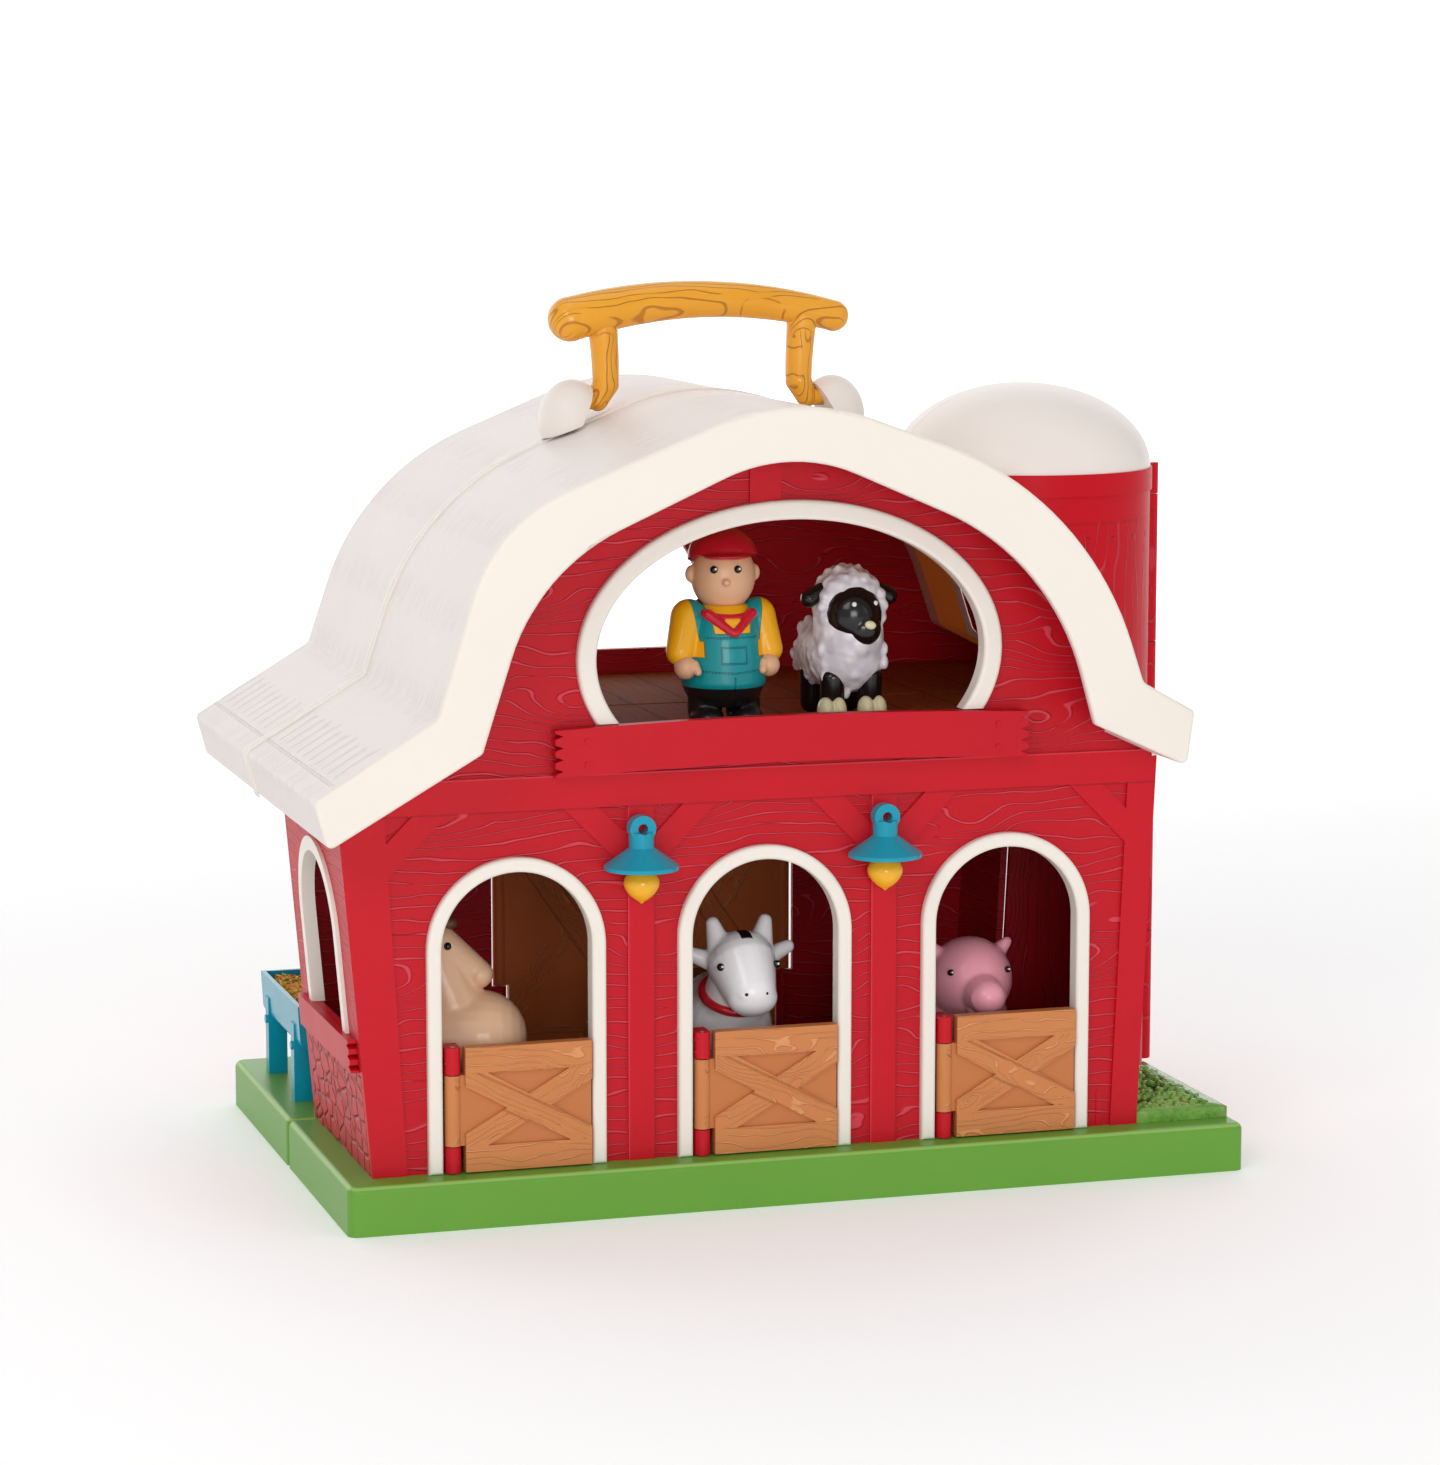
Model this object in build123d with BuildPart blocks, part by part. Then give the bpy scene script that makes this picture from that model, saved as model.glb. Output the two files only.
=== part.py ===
from build123d import *
import math
import os

# Toy barn with opening doors, in millimetres.
# X runs right along the front, Y runs to the back, Z is up. The origin is the middle of the
# base's underside. The plane y = 0 is the upright seam between the front and the back half.

# ---------------------------------------------------------------- driving dimensions
base_width = 350.0
base_depth = 226.0
base_height = 18.4
base_deck = 2.8
base_rib = 2.2
base_rim = 3.0
base_corner = 4.0
base_seam_corner = 3.0
base_edge_round = 2.5
base_rib_columns = 11
base_rib_rows = 4

seam_gap = 0.3
fit_gap = 0.1
wall_thickness = 2.6
timber_height = 1.2

barn_center = -14.4
wall_front_y = -101.1
wall_back_y = 98.0
wall_foot = 149.3
left_wall_lean = 10.5 / 122.6
right_wall_lean = 6.3 / 141.6
back_left_wall_inset = 21.0

# roof outline: x from the barn's centre, height, radius of the rounded corner
eave_left_low = (-170.0, 144.2)
eave_left_top = (-174.9, 162.2)
eave_right_top = (159.1, 181.2)
eave_right_low = (156.2, 160.6)
eave_round = 2.5
valley_round = 4.0
fascia_left_valley = (-129.9, 190.0)
fascia_left_shoulder = (-108.7, 258.8, 60.0)
fascia_peak = (2.4, 303.4, 85.0)
fascia_right_shoulder = (115.3, 262.1, 120.0)
fascia_right_valley = (138.4, 192.7)
soffit_right_valley = (119.2, 177.7)
soffit_right_shoulder = (101.7, 239.9, 95.0)
soffit_peak = (1.1, 283.4, 62.0)
soffit_left_shoulder = (-92.8, 241.2, 75.0)
soffit_left_valley = (-113.6, 176.5)
skin_left_valley = (-128.6, 190.0)
skin_left_shoulder = (-105.9, 257.6, 100.0)
skin_peak = (4.5, 302.6, 85.0)
skin_right_shoulder = (114.6, 260.8, 110.0)
skin_right_valley = (137.8, 192.0)
roof_front_y = -129.7
roof_back_y = 107.1
roof_thickness = 2.6
fascia_lip_depth = 3.4
soffit_setback = 15.0
eave_fit = 0.6
roof_edge_round = 1.6
bead_width = 3.0
bead_height = 0.6

# stalls
arch_centers = {"left": -94.9, "middle": 0.0, "right": 95.2}
arch_half_width = 33.6
arch_top = 134.2
arch_rim = 5.4
frame_depth = 7.0
frame_proud = 2.0
frame_round = 1.4

# stall doors
door_axis_offset = -24.4
door_thickness = 5.0
door_front_proud = 2.9
door_foot = 19.0
door_top = 65.3
door_free_gap = 0.7
door_rail_height = 9.6
door_recess = 1.3
door_brace_width = 8.2
knuckle_radius = 3.0
knuckle_gap = 0.4
door_knuckle_low = 28.8
door_knuckle_high = 55.0
door_edge_clearance = 1.3
pin_radius = 1.0
pin_clearance = 0.06

# loft
loft_window_center = 10.3
loft_window_half_width = 82.0
loft_window_half_height = 56.8
loft_window_center_z = 204.8
loft_window_sill = 180.9
loft_window_rim = 7.2
loft_frame_lift = 0.9
loft_floor_top = 174.0
loft_floor_thickness = 3.0
ledge_height = 3.0
ledge_depth = 4.0
floor_clearance = 0.2

# sill planks
plank_half_length = 91.4
plank_height = 17.2
plank_thickness = 4.8
plank_bow = 2.2
plank_tooth = 3.0
plank_tooth_count = 4
plank_lift = 0.2
plank_nail_radius = 1.0
plank_nail_height = 0.5
plank_nail_inset = 12.0

# timber framing on the front wall
beam_low = 151.0
beam_high = 163.4
post_width = 10.2
post_centers = (-47.6, 46.6)
left_corner_post_foot = 13.1
left_corner_post_top = 16.5
right_corner_post_width = 10.8
brace_near = 11.0
brace_far = 24.0
king_post_width = 12.0

# side window in the left wall
side_window_y = -51.0
side_window_half_width = 33.0
side_window_top = 137.0
side_window_rim = 5.4
side_frame_proud = 1.4
side_plank_low = 57.0
side_plank_high = 69.0
side_plank_half_length = 45.5
side_plank_thickness = 3.4

# silo and side hinge
silo_x = 124.0
silo_radius = 51.0
silo_wall = 2.4
silo_top = 263.7
silo_band_low = 255.0
silo_band_proud = 0.8
dome_height = 33.0
dome_wall = 2.4
hinge_offset = 4.0
hinge_knuckle_radius = 3.5
hinge_pin_radius = 1.5
hinge_knuckle_levels = (20.4, 73.7, 191.9, 251.4, 263.7)
hinge_web_thickness = 3.0
hinge_slot_levels = ((38.0, 56.0), (96.0, 120.0), (210.0, 235.0))
hinge_slot_width = 2.4
hinge_fit_clearance = 0.03
hinge_free_clearance = 0.06

# carrying handle
handle_center = -8.0
handle_pivot_drop = 10.0
handle_rise = 38.3
handle_crown = 7.0
handle_leg_spread = 40.4
handle_bar_reach = 60.3
handle_left_radius = 8.6
handle_middle_radius = 7.1
handle_right_radius = 6.0
handle_leg_radius = 5.3
handle_knee_x = 39.0
handle_knee_rise = 6.4
handle_pivot_radius = 4.1
handle_pivot_spread = 42.2
handle_stub_radius = 3.4
handle_end_swell = 0.12
handle_stub_length = 9.0
stub_clearance = 0.08
socket_offset = 52.5
socket_width = 13.0
socket_depth = 14.0
socket_rise = 16.0
socket_root_drop = 17.6
socket_face_top = 43.4
socket_face_foot = 51.0
socket_bottom_gap = 0.05
socket_front_gap = 0.7

# lamps
lamp_offsets = {"left": -48.9, "right": 45.2}
lamp_axis_y = -106.0
lamp_rim_z = 128.4
lamp_radius = 13.8
lamp_shoulder_z = 135.2
lamp_neck_radius = 4.6
lamp_neck_top = 142.0
lamp_eye_z = 143.4
lamp_eye_radius = 4.9
lamp_eye_hole = 1.9
lamp_eye_thickness = 5.0
lamp_shell = 1.6
bulb_radius = 6.6
bulb_tip_z = 115.4
bulb_neck_radius = 3.6
bulb_neck_length = 3.0
bulb_tip_length = 1.6

# back doors
back_door_left_axis = -66.4
back_door_right_axis = 56.2
back_door_top = 124.0
back_door_thickness = 4.0
back_door_proud = 1.8
back_knuckle_radius = 2.8
back_door_levels = (19.0, 46.0, 98.0)
back_door_jamb = 3.8
back_door_edge_gap = 3.6
back_door_free_gap = 0.6

# back loft opening
back_window_center = -27.0
back_window_half_width = 62.0
back_window_top = 252.0
back_window_sill = 184.0
back_window_rim = 4.0

# trough on the back half
trough_front_y = 20.0
trough_back_y = 96.0
trough_x = -156.0
trough_top = 58.0
trough_bottom = 40.5
trough_top_half = 10.4
trough_bottom_half = 9.4
trough_wall = 1.8
trough_round = 4.0
trough_leg_x = -162.6
trough_leg_overlap = 9.0
trough_bolt_radius = 1.7
trough_bolt_height = 0.8
trough_leg_width = 7.6
trough_leg_depth = 6.0
trough_leg_ys = (32.0, 84.0)
hay_drop = 3.4
hay_heap_count = 7
hay_heap_radius = 5.2

# leafy heaps on the base
bush_wall_gap = 0.3
bush_first_height = 5.4
bush_second_height = 5.6
bush_step = 8.0

# screws that hold each half's walls to its base
screw_head_radius = 3.0
screw_head_height = 2.0
screw_shank_radius = 1.3
screw_length = 24.0
screw_recess = 4.0
screw_tower_radius = 3.8
screw_tower_height = 14.0
screw_hole_clearance = 0.1
screw_rib = 2.0

# loose figures: feet centre x, y
farmer_place = (-20.0, -66.0)
sheep_place = (30.0, -60.0)
horse_place = (-126.0, -66.0)
horse_turn = 75.0
cow_place = (-16.0, -54.0)
pig_place = (80.0, -56.0)
figure_lift_gap = 0.2

# ---------------------------------------------------------------- derived sizes
seam = seam_gap / 2
front_panel_y = wall_front_y + timber_height
front_inner_y = front_panel_y + wall_thickness
back_inner_y = wall_back_y - wall_thickness
arch_centers_x = {side: barn_center + x for side, x in arch_centers.items()}
door_axis_y = wall_front_y
back_axis_y = wall_back_y - fit_gap
base_top = base_height
hinge_x = silo_x + silo_radius + hinge_offset
handle_pivot_z = skin_peak[1] - handle_pivot_drop
handle_bar_z = handle_pivot_z + handle_rise
handle_bar_end_z = handle_bar_z - handle_crown
socket_root_z = skin_peak[1] - socket_root_drop
socket_face_at_pivot = socket_face_top + (socket_face_foot - socket_face_top) * (
    socket_root_z + socket_rise - handle_pivot_z) / socket_rise


def front_plane(y):
    """An upright sketch plane at y, drawn in X and Z, whose extrusions with a minus sign run back."""
    return Plane.XZ.offset(-y)


def left_wall_x(z):
    """Outer face of the front half's left wall at height z."""
    return barn_center - wall_foot - left_wall_lean * (z - base_top)


def right_wall_x(z):
    """Outer face of the right wall at height z."""
    return barn_center + wall_foot + right_wall_lean * (z - base_top)


def eave_line_left(x):
    """Height of the left eave's underside at x."""
    (x0, z0), (x1, z1) = eave_left_low, soffit_left_valley
    return z0 + (x - barn_center - x0) * (z1 - z0) / (x1 - x0)


def eave_line_right(x):
    """Height of the right eave's underside at x."""
    (x0, z0), (x1, z1) = eave_right_low, soffit_right_valley
    return z0 + (x - barn_center - x0) * (z1 - z0) / (x1 - x0)


def roof_points(left_valley, left_shoulder, peak, right_shoulder, right_valley):
    """The roof's upper outline from the left eave's foot to the right eave's foot, with its radii."""
    points = [
        (*eave_left_low, eave_round),
        (*eave_left_top, eave_round),
        (*left_valley, valley_round),
        left_shoulder,
        peak,
        right_shoulder,
        (*right_valley, valley_round),
        (*eave_right_top, eave_round),
        (*eave_right_low, eave_round),
    ]
    return [(barn_center + x, z, r) for x, z, r in points]


fascia_points = roof_points(
    fascia_left_valley, fascia_left_shoulder, fascia_peak, fascia_right_shoulder, fascia_right_valley
)
skin_points = roof_points(
    skin_left_valley, skin_left_shoulder, skin_peak, skin_right_shoulder, skin_right_valley
)
soffit_points = [
    (barn_center + x, z, r)
    for x, z, r in [
        (*soffit_right_valley, eave_round),
        soffit_right_shoulder,
        soffit_peak,
        soffit_left_shoulder,
        (*soffit_left_valley, eave_round),
    ]
]
wall_left_eave_x = left_wall_x(eave_left_low[1] + 6)
wall_right_eave_x = right_wall_x(eave_right_low[1])
wall_left_eave = (wall_left_eave_x, eave_line_left(wall_left_eave_x), 0)
wall_right_eave = (wall_right_eave_x, eave_line_right(wall_right_eave_x), 0)


def outline(points, mode=Mode.ADD):
    """A closed outline through (x, z, radius) points, as a face in the sketch that is open."""
    with BuildSketch(mode=Mode.PRIVATE) as area:
        with BuildLine():
            FilletPolyline(*[(x, z) for x, z, r in points], radius=[r for x, z, r in points], close=True)
        make_face()
    add(area.sketch, mode=mode)


def arch_outline(center_x, half_width, top, foot, mode=Mode.ADD):
    """An arch with a round head: straight jambs up to the spring line and a half circle over it."""
    spring = top - half_width
    left, right = center_x - half_width, center_x + half_width
    with BuildSketch(mode=Mode.PRIVATE) as area:
        with BuildLine():
            Polyline((left, spring), (left, foot), (right, foot), (right, spring))
            ThreePointArc((right, spring), (center_x, top), (left, spring))
        make_face()
    add(area.sketch, mode=mode)


def ellipse_over_sill(center, half_width, half_height, sill, mode=Mode.ADD):
    """The part of an upright ellipse that stands over its sill."""
    center_x, center_z = center
    with BuildSketch(mode=Mode.PRIVATE) as window:
        with Locations((center_x, center_z)):
            Ellipse(half_width, half_height)
        with Locations((center_x, sill)):
            Rectangle(4 * half_width, 4 * half_height, align=(Align.CENTER, Align.MAX), mode=Mode.SUBTRACT)
    add(window.sketch, mode=mode)


def limb(start, end, start_radius, end_radius):
    """A tapered round limb with a rounded tip at either end."""
    run = Vector(*end) - Vector(*start)
    diagonal = math.sqrt(0.5)
    with BuildSketch(Plane.XZ, mode=Mode.PRIVATE) as profile:
        with BuildLine():
            ThreePointArc((0, -start_radius), (start_radius * diagonal, -start_radius * diagonal),
                          (start_radius, 0))
            Line((start_radius, 0), (end_radius, run.length))
            ThreePointArc((end_radius, run.length),
                          (end_radius * diagonal, run.length + end_radius * diagonal),
                          (0, run.length + end_radius))
            Line((0, run.length + end_radius), (0, -start_radius))
        make_face()
    capsule = revolve(profile.sketch, axis=Axis.Z, mode=Mode.PRIVATE)
    add(capsule.moved(Plane(origin=start, z_dir=run).location))


def finish_part(part, label):
    """Names a finished piece and writes it."""
    part.label = label
    export_step(part, f"parts/{label}.step")


os.makedirs("parts", exist_ok=True)

# ---------------------------------------------------------------- base halves and their screws
half_depth = base_depth / 2 - seam
screw_inset = 12.6
front_screw_y = wall_front_y + screw_inset
back_screw_y = wall_back_y - screw_inset + fit_gap * 6
left_screw_x = left_wall_x(base_top) + wall_thickness + screw_inset + fit_gap * 15
back_left_screw_x = left_wall_x(base_top) + back_left_wall_inset + wall_thickness + screw_inset
right_screw_x = right_wall_x(base_top) - wall_thickness - screw_inset
screw_spots = {
    "front": [(left_screw_x, -screw_inset), (barn_center + post_centers[0], front_screw_y),
              (barn_center + post_centers[1], front_screw_y), (right_screw_x, front_screw_y)],
    "back": [(back_left_screw_x, screw_inset), (back_left_screw_x, back_screw_y),
             (right_screw_x, back_screw_y), (right_screw_x, silo_radius + screw_inset)],
}


def base_half(side, spots):
    """One half of the green base: a deck on a rim, with ribs and screw bosses underneath."""
    center_y = side * (seam + half_depth / 2)
    cell_x = (base_width - 2 * base_rim + base_rib) / base_rib_columns
    cell_y = (half_depth - 2 * base_rim + base_rib) / base_rib_rows
    with BuildPart() as base:
        with BuildSketch():
            with Locations((0, center_y)):
                Rectangle(base_width, half_depth)
        extrude(amount=base_height)
        upright = base.edges().filter_by(Axis.Z)
        fillet(upright.sort_by(Axis.Y)[:2] if side < 0 else upright.sort_by(Axis.Y)[-2:], radius=base_corner)
        seam_edges = base.edges().filter_by(Axis.Z).filter_by_position(Axis.Y, -1, 1)
        fillet(seam_edges, radius=base_seam_corner)
        fillet(base.faces().sort_by(Axis.Z)[-1].edges(), radius=base_edge_round)
        with BuildSketch():
            with Locations((0, center_y)):
                with GridLocations(cell_x, cell_y, base_rib_columns, base_rib_rows):
                    Rectangle(cell_x - base_rib, cell_y - base_rib)
            with Locations(*spots):
                Circle(screw_tower_radius + 1, mode=Mode.SUBTRACT)
        extrude(amount=base_height - base_deck, mode=Mode.SUBTRACT)
        with Locations(*[(x, y, 0) for x, y in spots]):
            Cylinder(screw_head_radius + screw_hole_clearance * 2, screw_recess + screw_head_height,
                     align=(Align.CENTER, Align.CENTER, Align.MIN), mode=Mode.SUBTRACT)
            Cylinder(screw_shank_radius + screw_hole_clearance, base_height,
                     align=(Align.CENTER, Align.CENTER, Align.MIN), mode=Mode.SUBTRACT)
    return base.part


def base_screws(spots):
    """The screws of one half, head down in the recesses, reaching up into the walls' towers."""
    with BuildPart() as screws:
        with Locations(*[(x, y, screw_recess) for x, y in spots]):
            Cylinder(screw_head_radius, screw_head_height, align=(Align.CENTER, Align.CENTER, Align.MIN))
            Cylinder(screw_shank_radius, screw_length, align=(Align.CENTER, Align.CENTER, Align.MIN))
    return screws.part


def screw_towers(spots, wall_points):
    """Round towers on the deck that take the screws, each on a rib to its wall, in the open piece."""
    for (x, y), (wall_x, wall_y) in zip(spots, wall_points):
        with Locations(((x + wall_x) / 2, (y + wall_y) / 2, base_top)):
            Box(abs(x - wall_x) + screw_rib, abs(y - wall_y) + screw_rib, screw_tower_height,
                align=(Align.CENTER, Align.CENTER, Align.MIN))
        with Locations((x, y, base_top)):
            Cylinder(screw_tower_radius, screw_tower_height, align=(Align.CENTER, Align.CENTER, Align.MIN))
        with Locations((x, y, 0)):
            Cylinder(screw_shank_radius + screw_hole_clearance / 2, base_top + screw_tower_height - 2,
                     align=(Align.CENTER, Align.CENTER, Align.MIN), mode=Mode.SUBTRACT)


finish_part(base_half(-1, screw_spots["front"]), "base_front")
finish_part(base_half(1, screw_spots["back"]), "base_back")
finish_part(base_screws(screw_spots["front"]), "base_front_screws")
finish_part(base_screws(screw_spots["back"]), "base_back_screws")

# ---------------------------------------------------------------- sections that several pieces share
roof_clearance = roof_thickness + fit_gap
above_roof = 1.1 * fascia_peak[1]
left_end = fascia_points[1][0]
right_end = fascia_points[-2][0]


def wedge(grow=0.0):
    """The cross-section between the two leaning side walls, far past the roof, grown sideways."""
    return [
        (left_wall_x(base_top) - grow, base_top, 0),
        (left_wall_x(above_roof) - grow, above_roof, 0),
        (right_wall_x(above_roof) + grow, above_roof, 0),
        (right_wall_x(base_top) + grow, base_top, 0),
    ]


eave_face_slope = (skin_points[7][0] - wall_right_eave[0]) / (skin_points[7][1] - wall_right_eave[1])
inner_foot_x = wall_right_eave[0] - (wall_right_eave[1] - base_top) * eave_face_slope
wall_shoulder_z = wall_right_eave[1] - fit_gap

with BuildSketch() as front_wall_section:
    outline(skin_points[1:8] + [
        (inner_foot_x, base_top - roof_clearance, 0),
        (left_end, base_top - roof_clearance, 0),
    ])
    offset(amount=-roof_clearance, mode=Mode.REPLACE)
    outline([
        (left_wall_x(base_top), base_top, 0),
        (left_wall_x(wall_shoulder_z), wall_shoulder_z, 0),
        (right_wall_x(wall_shoulder_z), wall_shoulder_z, 0),
        (right_wall_x(base_top), base_top, 0),
    ])
    outline(wedge(), mode=Mode.INTERSECT)

back_left_x = left_wall_x(base_top) + back_left_wall_inset
with BuildSketch() as back_wall_section:
    add(front_wall_section.sketch)
    outline([(back_left_x, base_top, 0), (back_left_x, above_roof, 0),
             (right_end, above_roof, 0), (right_end, base_top, 0)], mode=Mode.INTERSECT)

with BuildSketch() as barn_section:
    outline(skin_points[1:8] + [(right_end, base_top, 0), (left_end, base_top, 0)])
    outline(wedge(grow=fit_gap), mode=Mode.INTERSECT)


def roof_skin_section(left_x):
    """The roof shell's cross-section, open below between left_x and the right wall."""
    right_x = wall_right_eave_x - wall_thickness + eave_fit
    with BuildSketch() as section:
        outline(skin_points[:-1] + [wall_right_eave, wall_left_eave])
        offset(amount=-roof_thickness, mode=Mode.SUBTRACT)
        with Locations(((left_x + right_x) / 2, base_top)):
            Rectangle(right_x - left_x, eave_left_top[1] + roof_thickness - base_top,
                      align=(Align.CENTER, Align.MIN), mode=Mode.SUBTRACT)
    return section.sketch


def bead_section():
    """The thin raised bead that follows the roof skin along the seam, from eave to eave."""
    (left_x, left_z, left_round), (right_x, right_z, right_round) = skin_points[0], skin_points[-1]
    with BuildSketch() as section:
        outline(skin_points)
        offset(amount=bead_height, mode=Mode.REPLACE)
        outline(skin_points, mode=Mode.SUBTRACT)
        outline([(left_x - bead_width, left_z + bead_height, 0),
                 (right_x + bead_width, right_z + bead_height, 0),
                 (right_x + bead_width, base_top, 0), (left_x - bead_width, base_top, 0)],
                mode=Mode.SUBTRACT)
    return section.sketch


def silo_clearance():
    """Cuts the silo's round way out of the piece that is open."""
    with Locations((silo_x, 0, base_top)):
        Cylinder(silo_radius + seam_gap, above_roof, align=(Align.CENTER, Align.CENTER, Align.MIN),
                 mode=Mode.SUBTRACT)


# ---------------------------------------------------------------- front wall with its timber framing
beam_posts = [barn_center + x for x in post_centers]
door_axes = {side: x + door_axis_offset for side, x in arch_centers_x.items()}
left_post_inner_foot = left_wall_x(base_top) + left_corner_post_foot
left_post_inner_top = left_wall_x(beam_low) + left_corner_post_top
right_post_inner = [right_wall_x(z) - right_corner_post_width for z in (base_top, beam_low)]
loft_window_x = barn_center + loft_window_center
bracket_reach = 10.4
bracket_depth = 2.3
bracket_gap = 0.2


def front_openings(grow):
    """The three stall arches and the loft window, grown by the fit of their frames."""
    with BuildSketch() as openings:
        for center_x in arch_centers_x.values():
            arch_outline(center_x, arch_half_width + grow, arch_top + grow, base_top - 1)
        ellipse_over_sill((loft_window_x, loft_window_center_z), loft_window_half_width + grow,
                          loft_window_half_height + grow, loft_window_sill)
    return openings.sketch


def timber_section():
    """Corner posts, beam, middle posts, braces and king post that stand proud of the panels."""
    braces = []
    for x in beam_posts:
        braces += [(x - post_width / 2, -1), (x + post_width / 2, 1)]
    braces += [(left_post_inner_top, 1), (right_post_inner[1], -1)]
    with BuildSketch() as timbers:
        outline([(left_wall_x(base_top) - 1, base_top, 0), (left_wall_x(beam_high) - 1, beam_high, 0),
                 (left_post_inner_top, beam_high, 0), (left_post_inner_foot, base_top, 0)])
        outline([(right_wall_x(base_top) + 1, base_top, 0), (right_post_inner[0], base_top, 0),
                 (right_post_inner[1], beam_high, 0), (right_wall_x(beam_high) + 1, beam_high, 0)])
        with Locations((barn_center, beam_low)):
            Rectangle(2 * wall_foot + 20, beam_high - beam_low, align=(Align.CENTER, Align.MIN))
        for x in beam_posts:
            with Locations((x, base_top)):
                Rectangle(post_width, beam_low - base_top, align=(Align.CENTER, Align.MIN))
        for x, way in braces:
            outline([(x, beam_low - brace_far, 0), (x, beam_low - brace_near, 0),
                     (x + way * brace_near, beam_low, 0), (x + way * brace_far, beam_low, 0)])
        with Locations((barn_center, loft_window_center_z)):
            Rectangle(king_post_width, above_roof / 3, align=(Align.CENTER, Align.MIN))
        add(front_wall_section.sketch, mode=Mode.INTERSECT)
        add(front_openings(fit_gap), mode=Mode.SUBTRACT)
    return timbers.sketch


def leaning_slab(outer_proud, inner_depth, y_front, y_back):
    """A slab along the left wall, from proud of its outer face to a depth inside it."""
    with BuildSketch(front_plane(y_front)) as section:
        outline([(left_wall_x(base_top) - outer_proud, base_top, 0),
                 (left_wall_x(beam_high) - outer_proud, beam_high, 0),
                 (left_wall_x(beam_high) + inner_depth, beam_high, 0),
                 (left_wall_x(base_top) + inner_depth, base_top, 0)])
    return extrude(section.sketch, amount=-(y_back - y_front), mode=Mode.PRIVATE)


def door_brackets(axis_x):
    """The two fixed knuckles of one stall door, on brackets that pass behind the frame's jamb."""
    frame_back_y = wall_front_y - frame_proud + frame_depth + bracket_gap
    bracket_back_y = frame_back_y + bracket_depth
    bracket_foot = bracket_reach - arch_half_width - door_axis_offset - bracket_gap + knuckle_radius
    levels = [(base_top + knuckle_gap, door_knuckle_low - knuckle_gap),
              (door_knuckle_high + knuckle_gap, door_top)]
    for low, high in levels:
        with BuildSketch(Plane.XY.offset(low)) as bracket:
            with Locations((axis_x, frame_back_y)):
                Rectangle(bracket_reach + knuckle_radius, bracket_depth, align=(Align.MAX, Align.MIN))
            with Locations((axis_x - knuckle_radius - bracket_reach, front_inner_y - fit_gap)):
                Rectangle(bracket_foot, bracket_back_y - front_inner_y + fit_gap,
                          align=(Align.MIN, Align.MIN))
            with Locations((axis_x, door_axis_y)):
                Rectangle(2 * knuckle_radius, bracket_back_y - door_axis_y, align=(Align.CENTER, Align.MIN))
                Circle(knuckle_radius)
                Circle(pin_radius + pin_clearance / 3, mode=Mode.SUBTRACT)
        extrude(bracket.sketch, amount=high - low)


catch_z = 104.0
catch_width = 9.0
catch_thickness = 2.4
catch_reach = 6.0
catch_root = 16.0
catch_x = left_wall_x(catch_z) + wall_thickness + 0.6
catch_slot_gap = 0.8

with BuildPart() as wall_front:
    with BuildSketch(front_plane(front_panel_y)):
        add(front_wall_section.sketch)
        add(front_openings(fit_gap), mode=Mode.SUBTRACT)
    extrude(amount=-wall_thickness)
    with BuildSketch(front_plane(wall_front_y)):
        add(timber_section())
    extrude(amount=-timber_height)
    with BuildSketch(front_plane(front_panel_y)):
        add(front_wall_section.sketch)
        outline([(x + wall_thickness * way, z, 0)
                 for (x, z, r), way in zip(wedge(), (1, 1, -1, -1))], mode=Mode.SUBTRACT)
    extrude(amount=-(abs(front_panel_y) - seam))
    with BuildSketch(Plane.YZ.offset(left_end)):
        arch_outline(side_window_y, side_window_half_width + fit_gap, side_window_top + fit_gap,
                     side_plank_high)
    extrude(amount=left_wall_x(base_top) + 2 * wall_thickness - left_end, mode=Mode.SUBTRACT)
    silo_clearance()
    with Locations((barn_center, front_inner_y, loft_floor_top - loft_floor_thickness - fit_gap)):
        Box(2 * wall_foot - 2 * left_corner_post_foot, ledge_depth, ledge_height,
            align=(Align.CENTER, Align.MIN, Align.MAX))
    for axis_x in door_axes.values():
        door_brackets(axis_x)
    screw_towers(screw_spots["front"],
                 [(left_wall_x(base_top) + wall_thickness - screw_rib, -screw_inset)]
                 + [(x, front_inner_y - screw_rib) for x, y in screw_spots["front"][1:]])
    with Locations((catch_x, -seam, catch_z)):
        Box(catch_thickness, catch_root, catch_width, align=(Align.MIN, Align.MAX, Align.CENTER))
        Box(catch_thickness, catch_reach, catch_width - 2, align=(Align.MIN, Align.MIN, Align.CENTER))
    with Locations((catch_x + 0.3, -seam - catch_root / 2, catch_z)):
        Box(wall_thickness, catch_root / 2, catch_width, align=(Align.MAX, Align.MAX, Align.CENTER))
finish_part(wall_front.part, "wall_front")

# ---------------------------------------------------------------- back wall, its return panel and the slot
back_window_x = barn_center + back_window_center
back_window_rise = back_window_top - back_window_sill
back_door_edges = (back_door_left_axis - back_door_jamb, back_door_right_axis + back_door_jamb)
back_door_opening_x = sum(back_door_edges) / 2
back_door_opening_width = back_door_edges[1] - back_door_edges[0]


def back_door_knuckles(axis_x, way):
    """The two fixed knuckles of one back door, on lugs in the wall's own thickness."""
    levels = [(back_door_levels[0], back_door_levels[1] - knuckle_gap),
              (back_door_levels[2] + knuckle_gap, back_door_top)]
    for low, high in levels:
        with BuildSketch(Plane.XY.offset(low)) as lug:
            with Locations((axis_x - way * (back_door_jamb + 1) / 2, wall_back_y)):
                Rectangle(back_door_jamb + 1, wall_thickness, align=(Align.CENTER, Align.MAX))
            with Locations((axis_x, back_axis_y)):
                Circle(back_knuckle_radius)
                Circle(pin_radius + pin_clearance / 3, mode=Mode.SUBTRACT)
        extrude(lug.sketch, amount=high - low)


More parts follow.
